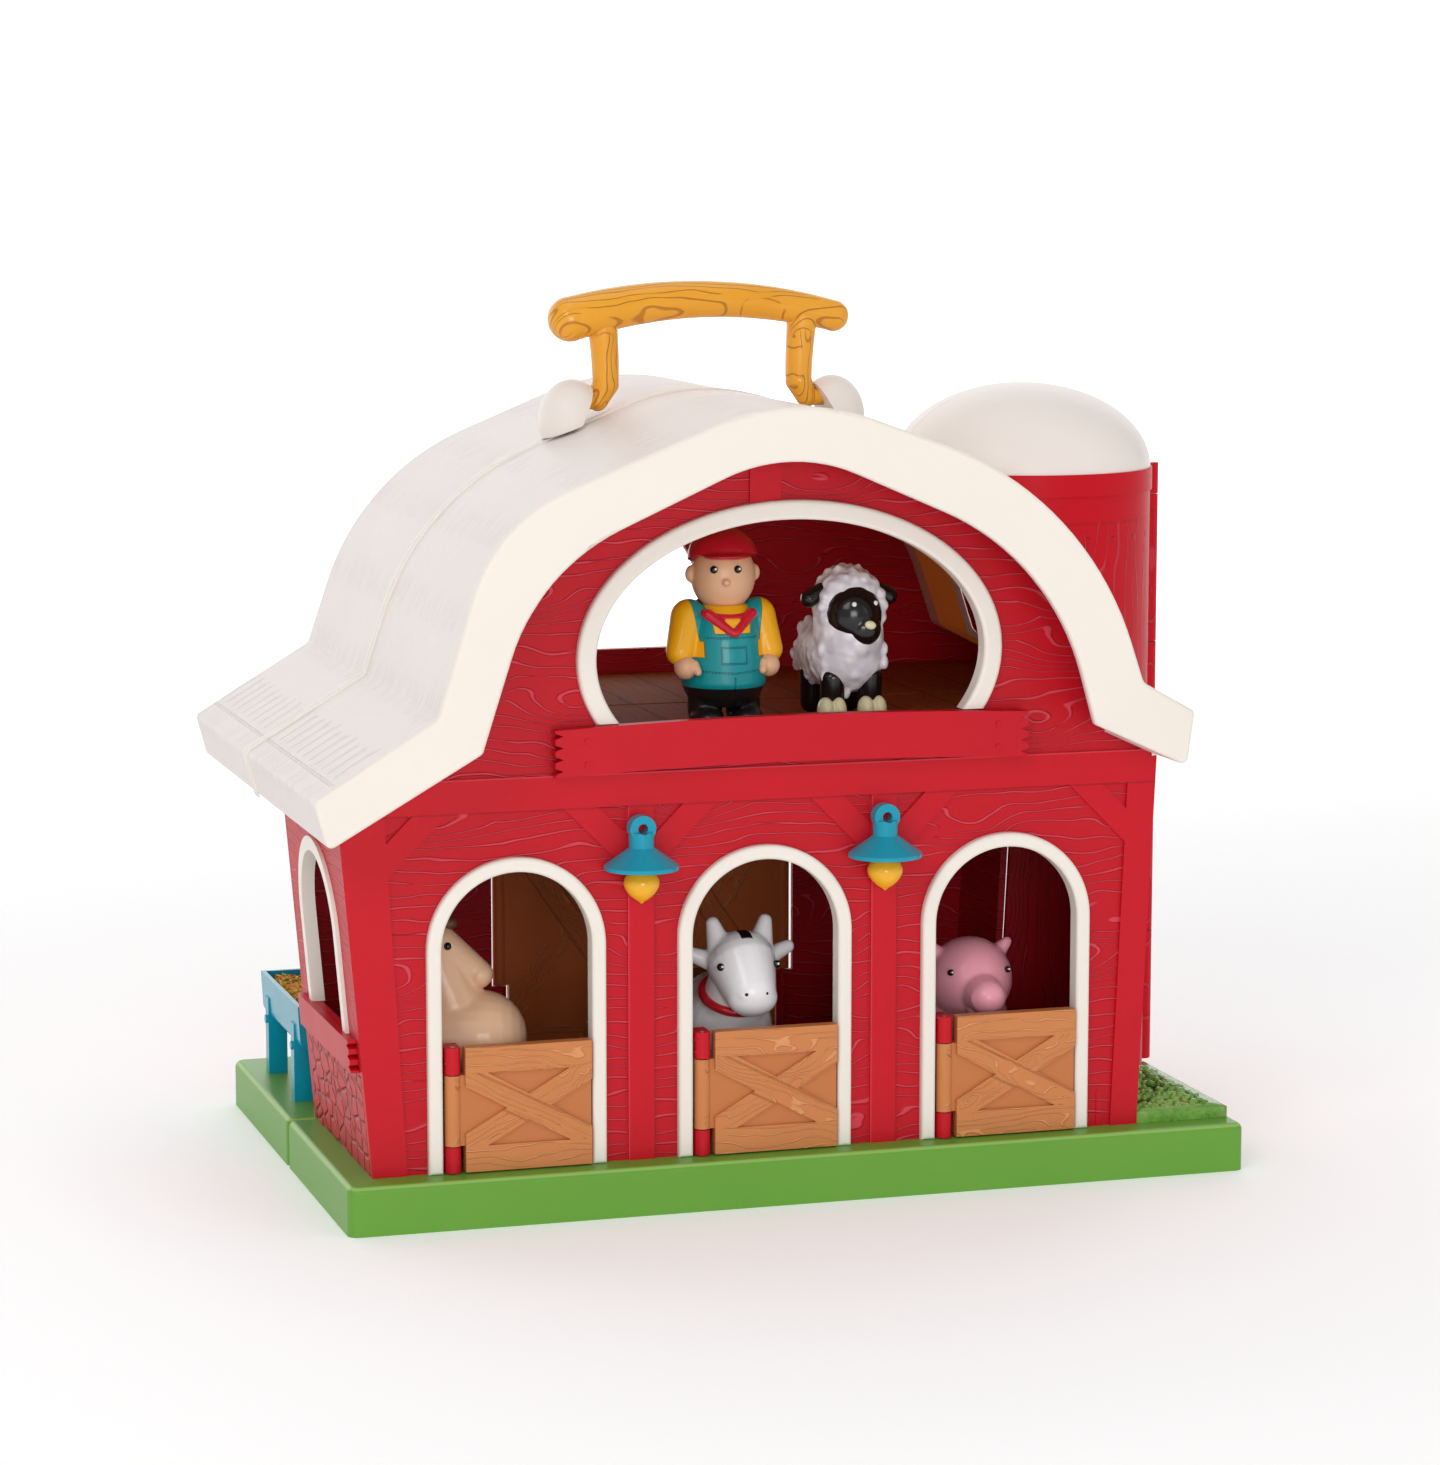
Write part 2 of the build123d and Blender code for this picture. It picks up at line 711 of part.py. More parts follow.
with BuildPart() as wall_back:
    with BuildSketch(front_plane(back_inner_y)):
        add(back_wall_section.sketch)
        with Locations((back_door_opening_x, base_top)):
            Rectangle(back_door_opening_width, back_door_top - base_top + knuckle_gap,
                      align=(Align.CENTER, Align.MIN), mode=Mode.SUBTRACT)
        ellipse_over_sill((back_window_x, back_window_sill + back_window_rise / 4), back_window_half_width,
                          back_window_rise * 3 / 4, back_window_sill, mode=Mode.SUBTRACT)
    extrude(amount=-wall_thickness)
    with BuildSketch(front_plane(wall_back_y - wall_thickness / 2)):
        ellipse_over_sill((back_window_x, back_window_sill + back_window_rise / 4),
                          back_window_half_width + back_window_rim, back_window_rise * 3 / 4 + back_window_rim,
                          back_window_sill - back_window_rim)
        ellipse_over_sill((back_window_x, back_window_sill + back_window_rise / 4), back_window_half_width,
                          back_window_rise * 3 / 4, back_window_sill, mode=Mode.SUBTRACT)
    extrude(amount=-wall_thickness)
    with BuildSketch(front_plane(seam)):
        add(back_wall_section.sketch)
        outline([(back_left_x + wall_thickness, base_top, 0), (back_left_x + wall_thickness, above_roof, 0)]
                + [(x - wall_thickness, z, 0) for x, z, r in wedge()[2:]], mode=Mode.SUBTRACT)
    extrude(amount=-(back_inner_y - seam))
    with BuildSketch(front_plane(seam)):
        add(front_wall_section.sketch)
        with Locations((back_left_x + wall_thickness, base_top)):
            Rectangle(above_roof * 2, above_roof * 2, align=(Align.MIN, Align.CENTER), mode=Mode.SUBTRACT)
        with Locations((catch_x + catch_thickness / 2, catch_z)):
            Rectangle(catch_thickness + 2 * catch_slot_gap, catch_width - 2 + 2 * catch_slot_gap,
                      mode=Mode.SUBTRACT)
    extrude(amount=-wall_thickness)
    silo_clearance()
    with Locations(((back_left_x + right_wall_x(base_top)) / 2, back_inner_y,
                    loft_floor_top - loft_floor_thickness - fit_gap)):
        Box(right_wall_x(base_top) - back_left_x - 2 * wall_thickness, ledge_depth, ledge_height,
            align=(Align.CENTER, Align.MAX, Align.MAX))
    back_door_knuckles(back_door_left_axis, 1)
    back_door_knuckles(back_door_right_axis, -1)
    screw_towers(screw_spots["back"],
                 [(back_left_x + screw_rib / 2, screw_inset), (back_left_screw_x, back_inner_y + screw_rib / 2),
                  (right_screw_x, back_inner_y + screw_rib / 2),
                  (right_wall_x(base_top) - wall_thickness + screw_rib, silo_radius + screw_inset)])
finish_part(wall_back.part, "wall_back")

# ---------------------------------------------------------------- roof halves
def gable_band(points, y_start, y_end, pocket=False):
    """The deep band of an overhanging gable edge, or the hollow in it that opens to the wall."""
    with BuildSketch(front_plane(y_start)) as band:
        outline(points + soffit_points)
        if pocket:
            offset(amount=-roof_thickness, mode=Mode.REPLACE)
    return extrude(band.sketch, amount=-(y_end - y_start), mode=Mode.PRIVATE)


with BuildPart() as roof_front:
    add(gable_band(fascia_points, roof_front_y, roof_front_y + fascia_lip_depth))
    fillet(roof_front.faces().sort_by(Axis.Y)[0].edges(), radius=roof_edge_round)
    add(gable_band(skin_points, roof_front_y + fascia_lip_depth, wall_front_y - fit_gap))
    add(gable_band(skin_points, roof_front_y + roof_thickness, wall_front_y - fit_gap, pocket=True),
        mode=Mode.SUBTRACT)
    with BuildSketch(front_plane(roof_front_y + fascia_lip_depth)):
        outline(soffit_points)
        offset(amount=1.1 * roof_thickness, kind=Kind.INTERSECTION, mode=Mode.REPLACE)
        for (valley_x, valley_z), low, way in ((soffit_left_valley, eave_left_low, -1),
                                               (soffit_right_valley, eave_right_low, 1)):
            drop = soffit_setback * (valley_z - low[1]) / abs(low[0] - valley_x)
            near_x = barn_center + valley_x
            far_x = near_x + way * soffit_setback
            high, deep = 2.5 * roof_thickness, 2.5 * roof_thickness
            outline([(near_x, valley_z + high, 0), (far_x, valley_z - drop + high, 0),
                     (far_x, valley_z - drop - deep, 0), (near_x, valley_z - deep, 0)])
    extrude(amount=-(wall_front_y - fit_gap - roof_front_y - fascia_lip_depth), mode=Mode.SUBTRACT)
    with BuildSketch(front_plane(wall_front_y - fit_gap)):
        add(roof_skin_section(left_wall_x(wall_left_eave[1] + 2 * roof_thickness) - fit_gap))
    extrude(amount=-(abs(wall_front_y) + fit_gap - seam))
    with BuildSketch(front_plane(-seam - bead_width)):
        add(bead_section())
    extrude(amount=-bead_width)
    silo_clearance()
finish_part(roof_front.part, "roof_front")

with BuildPart() as roof_back:
    with BuildSketch(front_plane(seam)):
        add(roof_skin_section(back_left_x - fit_gap))
    extrude(amount=-(wall_back_y + fit_gap - seam))
    add(gable_band(skin_points, wall_back_y + fit_gap, roof_back_y))
    with BuildSketch(front_plane(seam)):
        add(bead_section())
    extrude(amount=-bead_width)
    with BuildSketch(front_plane(seam)):
        add(front_wall_section.sketch)
        offset(amount=fit_gap / 2, mode=Mode.REPLACE)
    extrude(amount=-(wall_thickness + fit_gap), mode=Mode.SUBTRACT)
    silo_clearance()
finish_part(roof_back.part, "roof_back")

# ---------------------------------------------------------------- silo halves with the side hinge
hinge_top = hinge_knuckle_levels[-1]
back_levels = (hinge_knuckle_levels[0:2], hinge_knuckle_levels[2:4])
front_levels = (hinge_knuckle_levels[1:3], hinge_knuckle_levels[3:5])
strip_limit_x = silo_x + silo_radius


def half_space(side, low, high, mode=Mode.INTERSECT):
    """Keeps one side of the seam, between two heights, in the part that is open."""
    with Locations((silo_x, side * seam, low)):
        Box(4 * silo_radius, 2 * silo_radius, high - low, mode=mode,
            align=(Align.CENTER, Align.MIN if side > 0 else Align.MAX, Align.MIN))


def silo_half(side, own_levels, other_levels, hole_radius):
    """One half of the silo's wall outside the barn, with its leaves of the upright hinge."""
    with BuildPart() as silo:
        with Locations((silo_x, 0, base_top)):
            Cylinder(silo_radius, silo_top - base_top, align=(Align.CENTER, Align.CENTER, Align.MIN))
        with Locations((silo_x, 0, silo_band_low)):
            Cylinder(silo_radius + silo_band_proud, silo_top - silo_band_low,
                     align=(Align.CENTER, Align.CENTER, Align.MIN))
        with Locations((silo_x, 0, base_top)):
            Cylinder(silo_radius - silo_wall, silo_top - base_top,
                     align=(Align.CENTER, Align.CENTER, Align.MIN), mode=Mode.SUBTRACT)
        with BuildSketch(front_plane(-2 * silo_radius)):
            add(barn_section.sketch)
        extrude(amount=-4 * silo_radius, mode=Mode.SUBTRACT)
        with Locations((strip_limit_x, 0, base_top)):
            Box(silo_radius, 4 * silo_radius, silo_top, align=(Align.MIN, Align.CENTER, Align.MIN),
                mode=Mode.SUBTRACT)
        half_space(side, base_top, silo_top)
        web_y = side * (seam + hinge_web_thickness / 2)
        with Locations((strip_limit_x, web_y, hinge_knuckle_levels[0])):
            Box(2 * hinge_web_thickness, hinge_web_thickness, hinge_top - hinge_knuckle_levels[0],
                align=(Align.MAX, Align.CENTER, Align.MIN))
        for low, high in own_levels:
            top = high if high == hinge_top else high - knuckle_gap
            with Locations((strip_limit_x - 1, web_y, low)):
                Box(hinge_x - strip_limit_x + 1, hinge_web_thickness, top - low,
                    align=(Align.MIN, Align.CENTER, Align.MIN))
            with Locations((hinge_x, 0, low)):
                Cylinder(hinge_knuckle_radius, top - low, align=(Align.CENTER, Align.CENTER, Align.MIN))
        with Locations((hinge_x, 0, base_top)):
            Cylinder(hole_radius, silo_top, align=(Align.CENTER, Align.CENTER, Align.MIN),
                     mode=Mode.SUBTRACT)
        for low, high in hinge_slot_levels:
            with Locations((strip_limit_x - 0.2, 0, low)):
                Box(hinge_slot_width, 2 * hinge_web_thickness + 2, high - low,
                    align=(Align.MAX, Align.CENTER, Align.MIN), mode=Mode.SUBTRACT)
    return silo.part


def dome_half(side):
    """One half of the dome: a thin cap shaped as the upper half of an ellipsoid."""
    with BuildPart() as dome:
        with BuildSketch(Plane.XZ):
            for grow, mode in ((0, Mode.ADD), (-dome_wall, Mode.SUBTRACT)):
                Ellipse(silo_radius + grow, dome_height + grow, mode=mode)
            with Locations((0, 0)):
                Rectangle(4 * silo_radius, 4 * silo_radius, align=(Align.CENTER, Align.MAX), mode=Mode.SUBTRACT)
                Rectangle(4 * silo_radius, 4 * silo_radius, align=(Align.MAX, Align.CENTER), mode=Mode.SUBTRACT)
        revolve(axis=Axis.Z, revolution_arc=180 * side)
    return dome.part.moved(Location((silo_x, side * seam, silo_top)))


finish_part(silo_half(-1, front_levels, back_levels, hinge_pin_radius + hinge_free_clearance), "silo_front")
finish_part(silo_half(1, back_levels, front_levels, hinge_pin_radius + hinge_fit_clearance), "silo_back")
finish_part(dome_half(-1), "silo_dome_front")
finish_part(dome_half(1), "silo_dome_back")

with BuildPart() as hinge_pin:
    with Locations((hinge_x, 0, hinge_knuckle_levels[0])):
        Cylinder(hinge_pin_radius, hinge_top - hinge_knuckle_levels[0],
                 align=(Align.CENTER, Align.CENTER, Align.MIN))
finish_part(hinge_pin.part, "hinge_pin")

# ---------------------------------------------------------------- cream frames round the openings
frame_front_y = wall_front_y - frame_proud

for side, center_x in arch_centers_x.items():
    with BuildPart() as arch_frame:
        with BuildSketch(front_plane(frame_front_y)):
            arch_outline(center_x, arch_half_width, arch_top, base_top)
            arch_outline(center_x, arch_half_width - arch_rim, arch_top - arch_rim, base_top - 1,
                         mode=Mode.SUBTRACT)
        extrude(amount=-frame_depth)
        fillet(arch_frame.faces().sort_by(Axis.Y)[0].edges(), radius=frame_round)
    finish_part(arch_frame.part, f"arch_frame_{side}")

with BuildPart() as loft_window_frame:
    with BuildSketch(front_plane(frame_front_y)):
        ellipse_over_sill((loft_window_x, loft_window_center_z), loft_window_half_width,
                          loft_window_half_height, loft_window_sill + loft_frame_lift)
        ellipse_over_sill((loft_window_x, loft_window_center_z), loft_window_half_width - loft_window_rim,
                          loft_window_half_height - loft_window_rim, loft_window_sill - 1,
                          mode=Mode.SUBTRACT)
    extrude(amount=-frame_depth)
    front_edges = loft_window_frame.faces().sort_by(Axis.Y)[0].edges()
    fillet(front_edges.sort_by(SortBy.LENGTH)[-2:], radius=frame_round)
finish_part(loft_window_frame.part, "loft_window_frame")

with BuildPart() as side_window_frame:
    with BuildSketch(Plane.YZ.offset(left_end)):
        arch_outline(side_window_y, side_window_half_width, side_window_top,
                     side_plank_high + fit_gap)
        arch_outline(side_window_y, side_window_half_width - side_window_rim,
                     side_window_top - side_window_rim, side_plank_high - 1, mode=Mode.SUBTRACT)
    extrude(amount=back_left_x - left_end)
    add(leaning_slab(side_frame_proud, wall_thickness + 1, wall_front_y, -seam), mode=Mode.INTERSECT)
finish_part(side_window_frame.part, "side_window_frame")


# ---------------------------------------------------------------- rough planks under the windows
def tooth_row(edge_u, way, low, high, count):
    """Closed zigzag outlines that are cut from the end of a plank."""
    step = (high - low) / count
    return [[(edge_u + way, low + step * (i + 0.15), 0), (edge_u - way * plank_tooth, low + step * (i + 0.5), 0),
             (edge_u + way, low + step * (i + 0.85), 0)] for i in range(count)]


plank_x = barn_center + loft_window_center
plank_high = loft_window_sill - plank_lift * 2
plank_low = plank_high - plank_height
with BuildPart() as loft_sill_plank:
    with BuildSketch(front_plane(wall_front_y - plank_lift - plank_thickness)):
        with BuildLine():
            ThreePointArc((plank_x - plank_half_length, plank_low),
                          (plank_x, plank_low + plank_bow),
                          (plank_x + plank_half_length, plank_low))
            Line((plank_x + plank_half_length, plank_low), (plank_x + plank_half_length, plank_high))
            ThreePointArc((plank_x + plank_half_length, plank_high),
                          (plank_x, plank_high + plank_bow),
                          (plank_x - plank_half_length, plank_high))
            Line((plank_x - plank_half_length, plank_high), (plank_x - plank_half_length, plank_low))
        make_face()
        for edge_x, way in ((plank_x - plank_half_length, -1), (plank_x + plank_half_length, 1)):
            for tooth in tooth_row(edge_x, way, plank_low, plank_high, plank_tooth_count):
                outline(tooth, mode=Mode.SUBTRACT)
    extrude(amount=-plank_thickness)
    nail_x = plank_half_length - plank_nail_inset
    with BuildSketch(front_plane(wall_front_y - plank_lift - plank_thickness)):
        with Locations((plank_x, (plank_low + plank_high) / 2)):
            with GridLocations(2 * nail_x, plank_height / 2, 2, 2):
                Circle(plank_nail_radius)
    extrude(amount=plank_nail_height)
finish_part(loft_sill_plank.part, "loft_sill_plank")

with BuildPart() as side_sill_plank:
    with BuildSketch(Plane.YZ.offset(left_end)):
        with Locations((side_window_y, (side_plank_low + side_plank_high) / 2)):
            Rectangle(2 * side_plank_half_length, side_plank_high - side_plank_low)
        for tooth in tooth_row(side_window_y - side_plank_half_length, -1, side_plank_low,
                               side_plank_high, plank_tooth_count - 1):
            outline(tooth, mode=Mode.SUBTRACT)
    extrude(amount=back_left_x - left_end)
    add(leaning_slab(side_plank_thickness, -fit_gap, roof_front_y, -seam), mode=Mode.INTERSECT)
finish_part(side_sill_plank.part, "side_sill_plank")

# ---------------------------------------------------------------- loft floors
slope_run = (skin_points[2][0] - skin_points[1][0]) / (skin_points[2][1] - skin_points[1][1])
floor_left_x = skin_points[1][0] + (loft_floor_top - skin_points[1][1]) * slope_run
floor_left_x += roof_thickness * math.hypot(1, slope_run) + floor_clearance
floor_right_x = right_wall_x(loft_floor_top - loft_floor_thickness) - wall_thickness - floor_clearance


def loft_floor(left_x, front_y, back_y):
    """One half of the loft floor, resting on the ledge of its wall."""
    with BuildPart() as floor:
        with Locations(((left_x + floor_right_x) / 2, (front_y + back_y) / 2, loft_floor_top)):
            Box(floor_right_x - left_x, back_y - front_y, loft_floor_thickness,
                align=(Align.CENTER, Align.CENTER, Align.MAX))
    return floor.part


finish_part(loft_floor(floor_left_x, front_inner_y + floor_clearance, -seam), "loft_floor_front")
finish_part(loft_floor(back_left_x + wall_thickness + floor_clearance, seam + wall_thickness + fit_gap,
                       back_inner_y - floor_clearance), "loft_floor_back")

# ---------------------------------------------------------------- stall doors and their pins
leaf_back_y = wall_front_y - door_front_proud + door_thickness
panel_front_y = wall_front_y - door_front_proud + door_recess


def stall_door(center_x):
    """A half-height leaf with a rail at top and bottom, an X brace and the middle hinge barrel."""
    axis_x = center_x + door_axis_offset
    left_x = axis_x + knuckle_radius + door_edge_clearance
    right_x = center_x + arch_half_width - arch_rim - door_free_gap
    middle_x, middle_z = (left_x + right_x) / 2, (door_foot + door_top) / 2
    width, height = right_x - left_x, door_top - door_foot
    brace_angle = math.degrees(math.atan2(height - 2 * door_rail_height, width))
    with BuildPart() as door:
        with BuildSketch(front_plane(panel_front_y)):
            with Locations((middle_x, middle_z)):
                Rectangle(width, height)
            with Locations((axis_x, door_knuckle_low)):
                Rectangle(left_x - axis_x + 1, door_knuckle_high - door_knuckle_low,
                          align=(Align.MIN, Align.MIN))
        extrude(amount=-(leaf_back_y - panel_front_y))
        with BuildSketch(front_plane(panel_front_y)):
            for z, align in ((door_foot, Align.MIN), (door_top, Align.MAX)):
                with Locations((middle_x, z)):
                    Rectangle(width, door_rail_height, align=(Align.CENTER, align))
            for angle in (brace_angle, -brace_angle):
                with Locations(Location((middle_x, middle_z), angle)):
                    Rectangle(2 * width, door_brace_width)
            with Locations((middle_x, middle_z)):
                Rectangle(width, height, mode=Mode.INTERSECT)
        extrude(amount=door_recess)
        with Locations((axis_x, door_axis_y, door_knuckle_low)):
            Cylinder(knuckle_radius, door_knuckle_high - door_knuckle_low,
                     align=(Align.CENTER, Align.CENTER, Align.MIN))
            Cylinder(pin_radius + pin_clearance, door_knuckle_high - door_knuckle_low,
                     align=(Align.CENTER, Align.CENTER, Align.MIN), mode=Mode.SUBTRACT)
    return door.part


def pin_row(spots, low, high):
    """Thin upright pins."""
    with BuildPart() as pins:
        with Locations(*[(x, y, low) for x, y in spots]):
            Cylinder(pin_radius, high - low, align=(Align.CENTER, Align.CENTER, Align.MIN))
    return pins.part


for side, center_x in arch_centers_x.items():
    finish_part(stall_door(center_x), f"door_{side}")
finish_part(pin_row([(x, door_axis_y) for x in door_axes.values()], base_top + fit_gap,
                    door_top + 2 * fit_gap), "stall_door_pins")


# ---------------------------------------------------------------- back doors and their pins
def back_door(axis_x, way):
    """A tall leaf that reaches from its own pin to the middle of the back opening."""
    free_x = back_door_opening_x - way * back_door_free_gap / 2
    edge_x = axis_x + way * back_door_edge_gap
    outer_y = wall_back_y + back_door_proud
    low, high = back_door_levels[1:]
    with BuildPart() as door:
        with BuildSketch(front_plane(outer_y - back_door_thickness)):
            with Locations(((free_x + edge_x) / 2, back_door_levels[0])):
                Rectangle(abs(free_x - edge_x), back_door_top - back_door_levels[0],
                          align=(Align.CENTER, Align.MIN))
            with Locations(((axis_x + edge_x + way) / 2, low)):
                Rectangle(back_door_edge_gap + 1, high - low, align=(Align.CENTER, Align.MIN))
        extrude(amount=-back_door_thickness)
        with Locations((axis_x, back_axis_y, low)):
            Cylinder(back_knuckle_radius, high - low, align=(Align.CENTER, Align.CENTER, Align.MIN))
            Cylinder(pin_radius + pin_clearance, high - low,
                     align=(Align.CENTER, Align.CENTER, Align.MIN), mode=Mode.SUBTRACT)
    return door.part


finish_part(back_door(back_door_left_axis, 1), "back_door_left")
finish_part(back_door(back_door_right_axis, -1), "back_door_right")
finish_part(pin_row([(back_door_left_axis, back_axis_y), (back_door_right_axis, back_axis_y)],
                    base_top + fit_gap, back_door_top + 2 * fit_gap), "back_door_pins")

# ---------------------------------------------------------------- lamps beside the middle arch
shade_under = lamp_shoulder_z - lamp_shell
for side, offset_x in lamp_offsets.items():
    lamp_x = barn_center + offset_x
    with BuildPart() as lamp_shade:
        with BuildSketch(Plane.XZ):
            with BuildLine():
                Polyline((0, shade_under), (0, lamp_neck_top), (lamp_neck_radius, lamp_neck_top),
                         (lamp_neck_radius, lamp_shoulder_z + 1.2), (lamp_neck_radius + 1.6, lamp_shoulder_z),
                         (lamp_radius - 0.8, lamp_rim_z + 2), (lamp_radius, lamp_rim_z + 1.4),
                         (lamp_radius, lamp_rim_z), (lamp_radius - lamp_shell, lamp_rim_z),
                         (lamp_neck_radius + 0.6, shade_under), (0, shade_under))
            make_face()
        revolve(axis=Axis.Z)
        with Locations(Location((0, 0, lamp_eye_z), (90, 0, 0))):
            Cylinder(lamp_eye_radius, lamp_eye_thickness)
            Cylinder(lamp_eye_hole, 2 * lamp_radius, mode=Mode.SUBTRACT)
        with Locations((0, wall_front_y - plank_lift - lamp_axis_y, shade_under)):
            Box(4 * lamp_radius, 2 * lamp_radius, 4 * lamp_radius, align=(Align.CENTER, Align.MIN, Align.CENTER),
                mode=Mode.SUBTRACT)
    finish_part(lamp_shade.part.moved(Location((lamp_x, lamp_axis_y, 0))), f"lamp_shade_{side}")
    with BuildPart() as lamp_bulb:
        with BuildSketch(Plane.XZ):
            bulb_z = bulb_tip_z + bulb_radius + bulb_tip_length
            with BuildLine():
                Line((0, bulb_tip_z), (bulb_radius * 0.22, bulb_tip_z + bulb_tip_length * 0.7))
                Spline((bulb_radius * 0.22, bulb_tip_z + bulb_tip_length * 0.7), (bulb_radius, bulb_z),
                       (bulb_neck_radius, shade_under - bulb_neck_length),
                       tangents=((1, 0.5), (0, 1)), tangent_scalars=(1, 1))
                Polyline((bulb_neck_radius, shade_under - bulb_neck_length), (bulb_neck_radius, shade_under),
                         (0, shade_under), (0, bulb_tip_z))
            make_face()
        revolve(axis=Axis.Z)
        with Locations((0, wall_front_y - plank_lift - lamp_axis_y, shade_under)):
            Box(4 * bulb_radius, bulb_radius, 4 * lamp_radius, align=(Align.CENTER, Align.MIN, Align.CENTER),
                mode=Mode.SUBTRACT)
    finish_part(lamp_bulb.part.moved(Location((lamp_x, lamp_axis_y, 0))), f"lamp_bulb_{side}")

# ---------------------------------------------------------------- carrying handle and its sockets
bar_run = handle_bar_reach - (handle_left_radius + handle_right_radius) / 2


def bar_station(t):
    """The bar's axis and radius from its left end, t = -1, to its right end, t = 1."""
    center_z = handle_bar_z - (handle_bar_z - handle_bar_end_z) * t * t
    end_radius = handle_right_radius if t > 0 else handle_left_radius
    radius = handle_middle_radius + (end_radius - handle_middle_radius) * abs(t)
    lean = 2 * (handle_bar_z - handle_bar_end_z) * t / bar_run
    return Plane(origin=(handle_center + t * bar_run, 0, center_z), x_dir=(0, 1, 0), z_dir=(1, 0, -lean)), radius


with BuildPart() as handle:
    for t in (-1, -0.5, 0, 0.5, 1):
        plane, radius = bar_station(t)
        with BuildSketch(plane):
            Circle(radius)
    loft()
    for t in (-1, 1):
        plane, radius = bar_station(t)
        with Locations(plane):
            Sphere(radius + handle_end_swell)
    for way in (-1, 1):
        knee_z = handle_pivot_z + handle_knee_rise
        leg_stations = [
            (handle_leg_spread, handle_bar_end_z + 1, handle_leg_radius + 0.9),
            (handle_leg_spread - 0.8, handle_bar_end_z - 9, handle_leg_radius + 0.3),
            (handle_knee_x, knee_z + handle_leg_radius, handle_leg_radius),
            (handle_knee_x, knee_z, handle_leg_radius - 0.2),
        ]
        for x, z, radius in leg_stations:
            with BuildSketch(Plane.XY.offset(z)):
                with Locations((handle_center + way * x, 0)):
                    Circle(radius)
        loft()
        limb((handle_center + way * handle_knee_x, 0, knee_z),
             (handle_center + way * handle_pivot_spread, 0, handle_pivot_z),
             handle_leg_radius - 0.1, handle_pivot_radius)
        stub_end = socket_face_at_pivot + handle_stub_length
        with Locations(Plane(origin=(handle_center + way * handle_pivot_spread, 0, handle_pivot_z),
                             z_dir=(way, 0, 0))):
            Cylinder(handle_stub_radius, stub_end - handle_pivot_spread,
                     align=(Align.CENTER, Align.CENTER, Align.MIN))
finish_part(handle.part, "handle")


def roof_under_socket(gap, y_start, y_end):
    """The roof's outer solid between two depths, grown by a gap, to be cut from a socket."""
    with BuildSketch(front_plane(y_start)) as section:
        outline(skin_points)
        offset(amount=gap, mode=Mode.REPLACE)
    return extrude(section.sketch, amount=-(y_end - y_start), mode=Mode.PRIVATE)


for side, way in (("left", -1), ("right", 1)):
    socket_x = handle_center + way * socket_offset
    face_lean = (socket_face_foot - socket_face_top) / socket_rise
    face_line = [(handle_center + way * (socket_face_top - face_lean * rise), socket_root_z + socket_rise + rise)
                 for rise in (socket_rise, -2 * socket_rise)]
    with BuildPart() as handle_socket:
        with BuildSketch(Plane.XZ):
            Ellipse(socket_width, socket_rise)
            Rectangle(2 * socket_width, 2 * socket_rise, align=(Align.MAX, Align.CENTER), mode=Mode.SUBTRACT)
        revolve(axis=Axis.Z)
    with BuildPart() as placed_socket:
        add(handle_socket.part.moved(Location((socket_x, 0, socket_root_z))))
        for gap, y_start, y_end in (
            (socket_bottom_gap, seam + bead_width, 2 * socket_depth),
            (bead_height + fit_gap, 0, seam + bead_width),
            (bead_height + socket_front_gap, -2 * socket_depth, 0),
        ):
            add(roof_under_socket(gap, y_start, y_end), mode=Mode.SUBTRACT)
        with BuildSketch(front_plane(-2 * socket_depth)):
            outline([(*face_line[0], 0), (*face_line[1], 0), (handle_center, face_line[1][1], 0),
                     (handle_center, face_line[0][1], 0)])
        extrude(amount=-4 * socket_depth, mode=Mode.SUBTRACT)
        bore = socket_face_at_pivot + handle_stub_length + knuckle_gap
        with Locations(Plane(origin=(handle_center, 0, handle_pivot_z), z_dir=(way, 0, 0))):
            Cylinder(handle_stub_radius + stub_clearance, bore,
                     align=(Align.CENTER, Align.CENTER, Align.MIN), mode=Mode.SUBTRACT)
    finish_part(placed_socket.part, f"handle_socket_{side}")

# ---------------------------------------------------------------- feeding trough and its hay
trough_length = trough_back_y - trough_front_y


def trough_section(inset):
    """The trough's tapered cross-section, narrower at the bottom."""
    with BuildSketch(front_plane(trough_front_y + inset)) as section:
        outline([(trough_x - trough_bottom_half + inset, trough_bottom + inset, trough_round - inset),
                 (trough_x - trough_top_half + inset, trough_top, 0),
                 (trough_x + trough_top_half - inset, trough_top, 0),
                 (trough_x + trough_bottom_half - inset, trough_bottom + inset, trough_round - inset)])
    return extrude(section.sketch, amount=-(trough_length - 2 * inset), mode=Mode.PRIVATE)


with BuildPart() as trough:
    add(trough_section(0))
    for leg_y in trough_leg_ys:
        with Locations((trough_leg_x, leg_y, base_top)):
            Box(trough_leg_width, trough_leg_depth, trough_bottom + trough_leg_overlap - base_top,
                align=(Align.CENTER, Align.CENTER, Align.MIN))
        with Locations(Plane(origin=(trough_leg_x - trough_leg_width / 2, leg_y, trough_bottom),
                             z_dir=(-1, 0, 0))):
            Cylinder(trough_bolt_radius, trough_bolt_height, align=(Align.CENTER, Align.CENTER, Align.MIN))
    add(trough_section(trough_wall), mode=Mode.SUBTRACT)
finish_part(trough.part, "trough")

